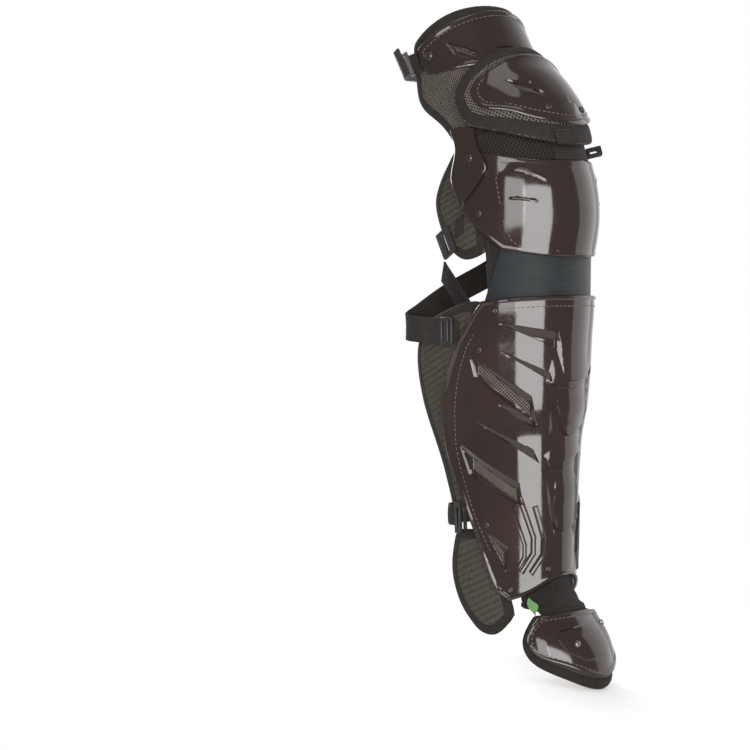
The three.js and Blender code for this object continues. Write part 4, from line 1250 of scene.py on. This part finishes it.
def inset_outline(shape, base, inset, spacing=2.0):
    """A line of places that runs inset millimetres inside a panel's edge, closed."""
    outline = smooth_loop(even_outline(shape, spacing), 3)
    metric, inward = edge_frame(base, outline)
    angle = outline[:, 0] + inward[:, 0] * inset / metric
    height = outline[:, 1] + inward[:, 1] * inset
    line_of = np.stack([angle, height], -1)
    return np.vstack([line_of, line_of[:1]])


print("tape is", TAPE, "mm wide")

# %% [markdown]
# The tape runs round every pad. The cup's is wider, and that of the knee pad, which the shells mostly
# hide, is narrower.

# %% Binding on every pad
binding("thigh_binding", THIGH_PAD, -PAD, PAD_TOP)
binding("foot_binding", FOOT_PANEL, -PAD, PAD_TOP, base=foot_base)
binding("cup_binding", CUP, CUP_LOW, CUP_LOW + CUP_PAD, bulge=cup_rise, width=11)
binding("knee_pad_binding", KNEE_PAD, -PAD, PAD_TOP, width=6)
for side, mirror in (("outer", False), ("inner", True)):
    for part, shape, high in (
        ("knee_wing", KNEE_WING, PAD_TOP), ("calf_wing", CALF_WING, PAD_TOP),
        ("ankle_lobe", ANKLE_LOBE, PAD_TOP - LOBE_LOWER),
    ):
        binding(f"{part}_binding_{side}", mirrored(shape) if mirror else shape, -PAD, high)

# %% [markdown]
# ## Stitching on the shells
# The real shells have a moulded or sewn stitch line just inside their edges. Every stitch is its own
# little rod, seated in the plastic.

# %% Stitch lines
def part_of(places, keep):
    """The places of a closed line for which keep is true, in order from one for which it isn't."""
    mask = keep(places[:, 0], places[:, 1])
    start = int(np.argmin(mask))
    turned = np.roll(places[:-1], -start, 0)
    kept = keep(turned[:, 0], turned[:, 1])
    return turned[kept] if kept.any() else places


PROUD = 0.1
SHIN_SEAM = [
    (-75, -125), (-81, -138), (-88, -152), (-94.5, -170), (-100, -190), (-104.5, -213), (-108.5, -240),
    (-109, -259), (-106, -279), (-100.5, -300), (-94.5, -322), (-86, -344), (-79, -360), (-73, -373),
]
shin_seam = np.array(SHIN_SEAM, float)
stitches("shin_stitches_outer", leg_base, shin_seam, PLATE_TOP + PROUD)
stitches("shin_stitches_inner", leg_base, shin_seam * [-1, 1], PLATE_TOP + PROUD)
top_line = inset_outline(SHIN, leg_base, 11)
top_line = part_of(top_line, lambda a, h: (h > -116) & (np.abs(a) < 60))
stitches("shin_stitches_top", leg_base, top_line, PLATE_TOP + PROUD + shin_lift(top_line[:, 1]))
thigh_line = inset_outline(THIGH, leg_base, 7)
stitches("thigh_stitches", leg_base, part_of(thigh_line, lambda a, h: h > 171), PLATE_TOP + PROUD)
KNEE_SEAM = [
    (-60, 30), (-64, 19), (-62, 3), (-58, -26), (-53, -41), (-47, -47), (-20, -51), (0, -51.5),
]
knee_seam = np.array(KNEE_SEAM + other_side(reversed(KNEE_SEAM[:-1])), float)
stitches("knee_stitches", leg_base, knee_seam, CAP_TOP + knee_rise(*knee_seam.T) + PROUD)


def cup_stitch_offset(places):
    return CUP_TOP + cup_rise(places[:, 0], places[:, 1]) + PROUD


cup_line = part_of(inset_outline(CUP_SHELL, leg_base, 6), lambda a, h: h < 110)
stitches("cup_stitches", leg_base, cup_line, cup_stitch_offset(cup_line))
foot_line = inset_outline(FOOT_CAP, foot_base, 5)
stitches("foot_stitches", foot_base, foot_line,
         CAP_SEAT + SHELL + cap_rise(foot_line[:, 0], foot_line[:, 1]) + PROUD)
print("stitch lines done")

# %% [markdown]
# ## Band, liner, label, patch and gusset
# These lie flat: an elastic band between the knee and the shin, a split-leather liner in the shin
# with a plain label, the bare patch in the knee cushion, and the mesh between shin and foot.

# %% Flat pieces
LINER = 2.5


def laid(name, node, shape, low, high, cols, rows, material, base=leg_base, edge=0.5):
    """A flat piece between two distances from the surface."""
    bm = cut_pattern(shape, cols, rows)
    flat = np.array([v.co[:2] for v in bm.verts])
    at, _, _, out = frame_at(base, flat[:, 0] / ARC, flat[:, 1])
    for vert, point in zip(bm.verts, (at + out * high) * MM):
        vert.co = point
    write_pattern(bm, flat)
    turn_outwards(bm, out)
    piece = finish_mesh(name, bm, [material], node, 50)
    thicken(piece, high - low)
    return round_edges(piece, edge)


def even_box(half, bottom, top, top_half=None):
    return {
        "sides": even_sides([(0, half), (1, top_half or half)]),
        "ends": even_ends([(0, bottom, top), (0.5, bottom, top)]),
    }


BAND_SHAPE = even_box(74, -106, -50, 62)
LINER_SHAPE = {
    "sides": even_sides([(0, 20), (0.35, 22), (0.7, 40), (1, 62)]),
    "ends": even_ends([(0, -385, -118), (0.5, -386, -150)]),
}
band = laid("knee_band_elastic", "knee_band", BAND_SHAPE, -0.2, 1.2, 90, 24, BAND)
liner = pad("shin_liner_leather", "shin_liner", LINER_SHAPE, UNDER_PAD - LINER, UNDER_PAD, 36, 50,
            [SUEDE, SUEDE])
binding("liner_piping", LINER_SHAPE, UNDER_PAD - LINER - 0.6, UNDER_PAD + 0.6, width=3)
laid("liner_label_plain", "liner_label", even_box(16, -262, -224),
     UNDER_PAD - LINER - 2, UNDER_PAD - LINER - 0.8, 12, 10, BLACK_SATIN)
laid("knee_patch_bare", "knee_patch", PATCH, -PAD - FOAM - 2.2, -PAD - FOAM - 1, 24, 24,
     PATCH_CLOTH, edge=0.4)


def vent_mesh(name, corners, low):
    """Mesh behind a vent, a little larger than the opening."""
    points = np.array(corners, float)
    left, right = points[:, 0].min() - 4, points[:, 0].max() + 4
    top_left, top_right, low_right, low_left = points[:, 1]
    shape = {
        "sides": [(0, left, right), (1, left, right)],
        "ends": [(0, low_left - 5, top_left + 5), (1, low_right - 5, top_right + 5)],
    }
    return laid(name, None, shape, low, low + 0.5, 16, 6, OUTER_MESH)


VENT_MESH_LOW = -0.7
for i, vent in enumerate(VENTS):
    vent_mesh(f"vent_mesh_outer_{i}", vent, VENT_MESH_LOW)
    top_left, top_right, low_right, low_left = other_side(vent)
    vent_mesh(f"vent_mesh_inner_{i}", (top_right, top_left, low_left, low_right), VENT_MESH_LOW)
print("flat pieces done")

# %% [markdown]
# ## The gusset
# The mesh between the shin and the foot could be a plain tube. The real one is a stretched panel that
# hangs inside the shin shell's lower edge and runs forward to the foot pad, so the sheet goes from one
# edge to the other with a few soft folds.

# %% The gusset between shin and foot
GUSSET = 3
GUSSET_SPREAD = 48
GUSSET_FOOT = -431.5
GUSSET_TOP = -0.6
TUCK = 11
GUSSET_HIDDEN = 7


def gusset():
    bm = bmesh.new()
    cols, rows = 40, 22
    bmesh.ops.create_grid(bm, x_segments=cols, y_segments=rows, size=0.5)
    co = np.array([v.co for v in bm.verts])
    share = (co - co.min(0)) / (np.ptp(co, 0) + 1e-9)
    u, v = share[:, 0], share[:, 1]
    angle = -GUSSET_SPREAD + 2 * GUSSET_SPREAD * u
    edge = column(("u", "bottom", "top"), SHIN["ends"], "bottom", u)
    hang = np.clip((v - 0.6) / 0.4, 0, 1)
    fold = 1.2 * np.sin(v * 19) * np.clip(v * (1 - v) * 6, 0, 1)
    high = on_surface(leg_base, angle * 0.95, edge - 6 + hang * TUCK, np.full(len(u), GUSSET_TOP))
    low = on_surface(foot_base, angle, GUSSET_FOOT + 2.5 * np.abs(2 * u - 1), np.full(len(u), GUSSET_TOP))
    t = np.clip(v / 0.6, 0, 1)[:, None]
    points = low + (high - low) * t
    points[:, 1] -= fold
    points[:, 2] -= GUSSET_HIDDEN * np.clip(1 - v / 0.12, 0, 1)
    for vert, point in zip(bm.verts, points * MM):
        vert.co = point
    write_pattern(bm, np.stack([angle * ARC, v * 45], -1))
    turn_outwards(bm, np.tile([0, -1.0, 0.3], (len(u), 1)))
    piece = finish_mesh("foot_gusset_mesh", bm, [DARK_MESH], "foot_gusset", 60)
    return round_edges(thicken(piece, GUSSET), 0.8)


gusset()

# %% [markdown]
# ## Straps
# Flat webbing runs behind the leg. Its route is a smooth curve through the same points as in the
# solids, spaced evenly by length, and a grid is carried along it. The elastic straps are gathered:
# a fine ripple across them shows that they are not under load.

# %% The strap maker
WEB = 1.8


def route(points, count):
    """Even points along a smooth curve through the given ones (centripetal, so that it never loops)."""
    p = np.array(points, float)
    p = np.vstack([2 * p[0] - p[1], p, 2 * p[-1] - p[-2]])
    fine = []
    for i in range(1, len(p) - 2):
        knots = [0.0]
        for a, b in zip(p[i - 1 : i + 2], p[i : i + 3]):
            knots.append(knots[-1] + max(np.linalg.norm(b - a), 1e-4) ** 0.5)
        for t in np.linspace(knots[1], knots[2], 16, endpoint=i == len(p) - 3):
            layer = list(p[i - 1 : i + 3])
            for depth in (1, 2, 3):
                nxt = []
                for k in range(4 - depth):
                    span = knots[k + depth] - knots[k] if depth < 3 else knots[2] - knots[1]
                    start = knots[k] if depth < 3 else knots[1]
                    if depth == 2:
                        span, start = knots[k + 2] - knots[k], knots[k]
                    nxt.append(layer[k] + (layer[k + 1] - layer[k]) * (t - start) / span)
                layer = nxt
            fine.append(layer[0])
    fine = np.array(fine)
    along = np.concatenate([[0], np.cumsum(np.linalg.norm(np.diff(fine, axis=0), axis=1))])
    at = np.linspace(0, along[-1], count)
    return np.stack([np.interp(at, along, fine[:, i]) for i in range(3)], -1), along[-1]


def strap(name, node, points, width, material, slot, thick=WEB, lean=0.0, ripple=0.0, waves=9.0):
    """A flat strap along a route, its width up the leg."""
    count, rows = 150, 8
    line_of, length = route(points, count + 1)
    tangent = unit(np.gradient(line_of, axis=0))
    up = np.array([0, math.sin(lean), math.cos(lean)])
    broad = unit(up - tangent * (tangent @ up)[:, None])
    out = np.cross(tangent, broad)
    bm = bmesh.new()
    bmesh.ops.create_grid(bm, x_segments=count, y_segments=rows, size=0.5)
    co = np.array([v.co for v in bm.verts])
    i = np.round((co[:, 0] - co[:, 0].min()) / np.ptp(co[:, 0]) * count).astype(int)
    across = (co[:, 1] - co[:, 1].min()) / np.ptp(co[:, 1]) - 0.5
    ease = np.clip(np.minimum(i, count - i) / 12, 0, 1)
    puff = ripple * ease * np.sin(i / count * length / waves * 2 * math.pi)
    offset = thick + puff * np.cos(across * math.pi)
    at = line_of[i] + broad[i] * (across * width)[:, None] + out[i] * offset[:, None]
    for vert, point in zip(bm.verts, at * MM):
        vert.co = point
    write_pattern(bm, np.stack([across * width, i / count * length], -1))
    turn_outwards(bm, out[i])
    piece = finish_mesh(name, bm, [material], node, 60)
    round_edges(thicken(piece, thick), min(0.6, thick * 0.3))
    return piece, length


def along_leg(offset, *stops):
    return [on_surface(leg_base, np.array(float(a)), np.array(float(h)), offset) for a, h in stops]


THIGH_STRAP_HEIGHT = 189
THIGH_STRAP_SAG = 24
right = along_leg(0.8, (101, THIGH_STRAP_HEIGHT), (111, THIGH_STRAP_HEIGHT), (121, THIGH_STRAP_HEIGHT))
left = along_leg(0.8, (-124, THIGH_STRAP_HEIGHT), (-117.3, THIGH_STRAP_HEIGHT))
sagging = [
    right[2] + (left[0] - right[2]) * s + np.array([0, THIGH_STRAP_SAG * math.sin(math.pi * s), 0])
    for s in (0.2, 0.35, 0.5, 0.65, 0.8)
]
STRAPS = [
    ("thigh_strap_satin", "thigh_strap", right + sagging + left,
     34, STRAP_SATIN, "satin_fabric", 3, THIGH_LEAN, 0.5, 26),
    ("knee_cross_webbing", "knee_cross_strap",
     along_leg(0.1, (94, -34), (112, -40), (130, -50))
     + [(46, 84, -74), (4, 100, -97), (-34, 110, -121), (-58, 107, -132)]
     + along_leg(1.2, (-150, -135), (-135, -136), (-121, -136)), 28, WEBBING, "webbing", WEB, 0.0, 0.0, 9),
    ("calf_cross_elastic", "calf_cross_strap",
     along_leg(0.3, (106, -143), (125, -141), (148, -138))
     + [(61, 99, -135), (38, 92, -128), (2, 76, -110), (-36, 60, -86), (-62, 47, -72)],
     24, WEBBING, "webbing", WEB, 0.0, 0.9, 8),
    ("ankle_elastic", "ankle_strap",
     along_leg(0.4, (107, -336), (114, -336), (121, -336))
     + [(40, 58, -336), (0, 66, -335), (-40, 58, -334)]
     + along_leg(0.4, (-121, -334), (-115.9, -334)), 22, WEBBING, "webbing", WEB, 0.0, 0.7, 8),
]
for item in STRAPS:
    _, strap_length = strap(*item)
    print(item[0], "is", round(strap_length), "mm long")

# %% [markdown]
# ## Short webbing, buckles and loops
# The buckles hang on short webbing sewn to the plates. A buckle is moulded acetal: a flat frame
# with bars. It could be built from boxes, but one block with its slots cut and its edges beveled is
# how the moulding looks.

# %% Short strips
def strip(name, node, start, end, width, low, thick=WEB, cols=10):
    """A short flat length of webbing from one place to another."""
    shape = {
        "sides": [(0, start[0], end[0]), (1, start[0], end[0])],
        "ends": [(u, at[1] - width / 2, at[1] + width / 2) for u, at in ((0, start), (1, end))],
    }
    return laid(name, node, shape, low, low + thick, cols, 8, WEBBING, edge=0.4)


ON_PAD = -0.25
strip("thigh_webbing_tab", "thigh_webbing", (-109.4, 178), (-99.5, 174), 24, ON_PAD)
strip("knee_webbing_tab", "knee_webbing", (-103, -28), (-94, -22), 20, ON_PAD)
strip("calf_webbing_tab", "calf_webbing", (-104, -136), (-98.5, -137), 24, ON_PAD)
strip("ankle_webbing_tab", "ankle_webbing", (-106, -340), (-102.5, -340), 18, ON_PAD)
strip("cup_elastic_strip", "cup_elastic", (-17, 40), (50, 40), 24, 0.5, thick=1.2, cols=40)
strip("cup_webbing_end", "cup_webbing", (-18, 43), (-4, 43), 10, 13.6)
GREEN_TAB = {
    "sides": [(0, -65, -60), (0.3, -72, -55), (0.7, -75, -54), (1, -72, -62)],
    "ends": [(0, -431, -419), (0.5, -434, -416), (1, -430, -419)],
}
laid("green_tab_cloth", "green_tab", GREEN_TAB, -4, -2.8, 16, 12, GREEN,
     base=foot_base, edge=0.4)
print("strips done")

# %% [markdown]
# A buckle starts as a flat plate. Its slots are cut, it is pulled up to its thickness, and then every
# edge is rounded as the moulding is.

# %% Buckles
def buckle(name, node, at, width, height, thick, low, slots, material, turn=0.0, standing=False,
           shift=0.0, soften=1.0):
    """A flat frame with slots: a plate cut with bisect_plane, faces taken out, then extruded and beveled."""
    origin, across, _, out = frame_at(leg_base, float(at[0]), float(at[1]))
    up = unit(np.cross(out, across))
    flat, face = (out, -across) if standing else (across, out)
    turn = math.radians(turn)
    side = flat * math.cos(turn) + up * math.sin(turn)
    rise = up * math.cos(turn) - flat * math.sin(turn)
    bm = bmesh.new()
    bmesh.ops.create_grid(bm, x_segments=1, y_segments=1, size=0.5)
    size = [max(abs(v.co.x) for v in bm.verts) * 2, max(abs(v.co.y) for v in bm.verts) * 2]
    bmesh.ops.scale(bm, verts=bm.verts, vec=(width / size[0], height / size[1], 1))
    bmesh.ops.translate(bm, verts=bm.verts, vec=(shift, 0, 0))
    for left_x, right_x, bottom, top in slots:
        for x in (left_x, right_x):
            bmesh.ops.bisect_plane(bm, geom=[*bm.verts, *bm.edges, *bm.faces], plane_co=(shift + x, 0, 0),
                                   plane_no=(1, 0, 0))
        for y in (bottom, top):
            bmesh.ops.bisect_plane(bm, geom=[*bm.verts, *bm.edges, *bm.faces], plane_co=(0, y, 0),
                                   plane_no=(0, 1, 0))
    inside = [
        f for f in bm.faces for s in slots
        if s[0] < f.calc_center_median().x - shift < s[1] and s[2] < f.calc_center_median().y < s[3]
    ]
    bmesh.ops.delete(bm, geom=inside, context="FACES")
    made = bmesh.ops.extrude_face_region(bm, geom=list(bm.faces))
    top_verts = [g for g in made["geom"] if isinstance(g, bmesh.types.BMVert)]
    bmesh.ops.translate(bm, verts=top_verts, vec=(0, 0, thick))
    bmesh.ops.dissolve_limit(bm, angle_limit=0.02, verts=bm.verts, edges=bm.edges)
    bmesh.ops.recalc_face_normals(bm, faces=bm.faces)
    bmesh.ops.bevel(bm, geom=bm.edges, offset=soften, segments=2, affect="EDGES", profile=0.5,
                    material=-1, clamp_overlap=True)
    for vert in bm.verts:
        x, y, z = vert.co
        vert.co = (origin + side * x + rise * y + face * (low + z)) * MM
    write_pattern(bm, [(v.co.x / MM, v.co.z / MM) for v in bm.verts])
    bmesh.ops.recalc_face_normals(bm, faces=bm.faces)
    return finish_mesh(name, bm, [material], node, 40)


buckle("thigh_hook_metal", "thigh_hook", (-113.5, 182), 8, 28, 3, ON_PAD, [(-1.5, 1.5, -11, 11)],
       SNAP_METAL, soften=0.9)
buckle("knee_buckle_frame", "knee_buckle", (-113, -42), 22, 30, 4, ON_PAD, [(-1.8, 1.8, -11, 11)],
       BUCKLE_BLACK, turn=30)
buckle("calf_ring_frame", "calf_ring", (-112, -136), 20, 30, 4, ON_PAD,
       [(-6.5, -3.5, -11, 11), (3.5, 6.5, -11, 11)], BUCKLE_BLACK)
buckle("ankle_buckle_frame", "ankle_buckle", (-111.5, -336), 9, 34, 4, ON_PAD, [(-1.5, 1.5, -11, 11)],
       BUCKLE_BLACK, soften=0.8)
buckle("cup_loop_webbing", "cup_loop", (42, 39.2), 16.6, 9.6, 12, -6, [(-5, 3.5, -1.95, 1.95)],
       WEBBING, standing=True, shift=10.3, soften=0.5)
print("buckles done")

# %% [markdown]
# ## Rivets and snaps
# Rivets are low domes with a rolled rim. Each starts as a cone frustum and its top edges are beveled
# twice, which is cheaper than a lathe profile and as round.

# %% Rivets
RIVET_RADIUS = 4
RIVET_HEIGHT = 2.2
CUP_RIVET_SHARE = 0.86
RIVETS = [
    ("thigh_rivet", -84, 170, PLATE_TOP, 1.4),
    ("knee_side_rivet", -80, 42, SIDE_TOP, 1.25),
    ("knee_low_rivet", -77, -12, CAP_TOP + float(knee_rise(77, -12)), 1.15),
    ("shin_top_rivet", -64, -114, PLATE_TOP + SHIN_LIP, 1),
    ("shin_side_rivet", -77, -155, PLATE_TOP, 1),
    ("shin_low_rivet", -78, -341, PLATE_TOP, 1),
    ("shin_tip_rivet", -55.5, -409, PLATE_TOP, 1),
    ("cup_rivet", -17, 63, CUP_TOP + CUP_STAND * CUP_RIVET_SHARE, 1.1),
]
FOOT_SNAPS = [("foot_snap_front", -22, -466, FOOT_PANEL_RISE), ("foot_snap_side", 36, -450, 0)]


def rivet(name, node, base, angle, height, offset, material, size=1.0):
    at, across, _, out = frame_at(base, float(angle), float(height))
    up = np.cross(out, across)
    turn = Matrix((across, up, out)).transposed().to_4x4()
    turn.translation = Vector((at + out * offset) * MM)
    radius, tall = RIVET_RADIUS * size * MM, RIVET_HEIGHT * size * MM
    bm = bmesh.new()
    bmesh.ops.create_cone(bm, cap_ends=True, segments=28, radius1=radius, radius2=radius * 0.62, depth=tall)
    bmesh.ops.translate(bm, verts=bm.verts, vec=(0, 0, tall / 2))
    rims = [e for e in bm.edges if abs(e.verts[0].co.z - e.verts[1].co.z) < 1e-7]
    bmesh.ops.bevel(bm, geom=rims, offset=tall * 0.28, segments=3, affect="EDGES", profile=0.5, material=-1)
    top = max(bm.faces, key=lambda f: f.calc_center_median().z)
    bmesh.ops.inset_individual(bm, faces=[top], thickness=radius * 0.16, depth=-tall * 0.1)
    bmesh.ops.transform(bm, matrix=turn, verts=bm.verts)
    write_pattern(bm, [(v.co.x / MM, v.co.z / MM) for v in bm.verts])
    return finish_mesh(name, bm, [material], node, 35)


for name, angle, height, offset, size in RIVETS:
    for side, flip in (("outer", 1), ("inner", -1)):
        rivet(f"{name}_head_{side}", f"{name}_{side}", leg_base, flip * angle, height, offset,
              RIVET_BLACK, size)
rivet("shin_foot_rivet_head", "shin_foot_rivet", leg_base, -20, -387, PLATE_TOP, RIVET_BLACK)
for name, angle, height, on in FOOT_SNAPS:
    rise = float(cap_rise(np.array(float(angle)), np.array(float(height)))) + on
    rivet(f"{name}_cap", name, foot_base, angle, height, CAP_SEAT + SHELL + rise, SNAP_METAL)
rivet("lobe_snap_cap", "lobe_snap", leg_base, -104, -425, -PAD - RIVET_HEIGHT - 0.5, SNAP_METAL)

# %% [markdown]
# ## Studio
# The guard stands worn, so it hangs above a pale floor as it would on a leg. Glossy black plastic
# shows little but what it mirrors, so the lights are soft boxes: a large one in front at the left, which
# the side box lengthens, and weak ones at the inner side, above and behind. The wall behind the guard is
# bright, as in the photograph.

# %% Floor, lights and camera
FLOOR = -0.512
FLOOR_RADIUS = 0.6


def studio_floor():
    bm = bmesh.new()
    bmesh.ops.create_circle(bm, cap_ends=True, segments=96, radius=FLOOR_RADIUS)
    bmesh.ops.translate(bm, verts=bm.verts, vec=(0, 0, FLOOR))
    mesh = bpy.data.meshes.new("floor")
    bm.to_mesh(mesh)
    bm.free()
    floor = bpy.data.objects.new("floor", mesh)
    bpy.context.scene.collection.objects.link(floor)
    material, tree, shader = start_material("floor_paper")
    shader.inputs["Base Color"].default_value = linear("#f4f4f3")
    shader.inputs["Roughness"].default_value = 0.9
    mesh.materials.append(material)


def soft_box(name, place, aim, width, height, power):
    light = bpy.data.lights.new(name, "AREA")
    light.shape = "RECTANGLE"
    light.size, light.size_y = width, height
    light.energy = power
    box = bpy.data.objects.new(name, light)
    bpy.context.scene.collection.objects.link(box)
    box.location = place
    box.rotation_euler = (Vector(aim) - Vector(place)).to_track_quat("-Z", "Y").to_euler()


def around(azimuth, distance, height):
    """A place round the guard; azimuth 0 is in front, negative to the outer side."""
    turn = math.radians(azimuth)
    return (math.sin(turn) * distance, -math.cos(turn) * distance, height)


studio_floor()
soft_box("front_box", around(-36, 3.2, -0.1), (0, 0, -0.15), 2.5, 2.6, 185)
soft_box("inner_box", around(64, 1.6, 0.1), (0, 0, -0.15), 1.6, 1.8, 12)
soft_box("side_box", around(-68, 2.2, 0.3), (0, 0, 0), 1.0, 1.3, 26)
soft_box("top_box", around(-60, 0.5, 1.9), (0, 0, 0), 1.0, 1.0, 6)
soft_box("back_box", around(160, 2.0, 0.7), (0, 0, -0.1), 1.4, 1.6, 36)

# A bright wall behind the guard and a dim room before it, so that the black stays black.
BACK_WALL = (0.731, 0.682, 0.05)
WALL_LIGHT = 1.0
ROOM_LIGHT = 0.3
world = bpy.data.worlds.new("studio")
bpy.context.scene.world = world
world.use_nodes = True
sky = world.node_tree
direction = add(sky, "ShaderNodeTexCoord").outputs["Generated"]
facing = add(
    sky, "ShaderNodeVectorMath", {"operation": "DOT_PRODUCT"}, _0=direction, _1=BACK_WALL
).outputs["Value"]
strength = add(
    sky, "ShaderNodeMapRange", Value=facing, From_Min=0.15, From_Max=0.75,
    To_Min=ROOM_LIGHT, To_Max=WALL_LIGHT,
).outputs[0]
sky.nodes["Background"].inputs["Color"].default_value = (1, 1, 1, 1)
sky.links.new(strength, sky.nodes["Background"].inputs["Strength"])
bpy.context.scene.view_settings.view_transform = "Standard"

AZIMUTH = math.radians(-47)
ELEVATION = math.radians(2)
DISTANCE = 2.5
AIM = Vector((0, 0, -0.184))
camera_data = bpy.data.cameras.new("camera")
camera_data.lens = 111
camera_data.sensor_width = 36
camera_data.shift_x = -0.187
camera = bpy.data.objects.new("camera", camera_data)
bpy.context.scene.collection.objects.link(camera)
towards = Vector((
    math.sin(AZIMUTH) * math.cos(ELEVATION), -math.cos(AZIMUTH) * math.cos(ELEVATION), math.sin(ELEVATION),
))
camera.location = AIM + towards * DISTANCE
camera.rotation_euler = (-towards).to_track_quat("-Z", "Y").to_euler()
bpy.context.scene.camera = camera
print("camera at", [round(x, 2) for x in camera.location])
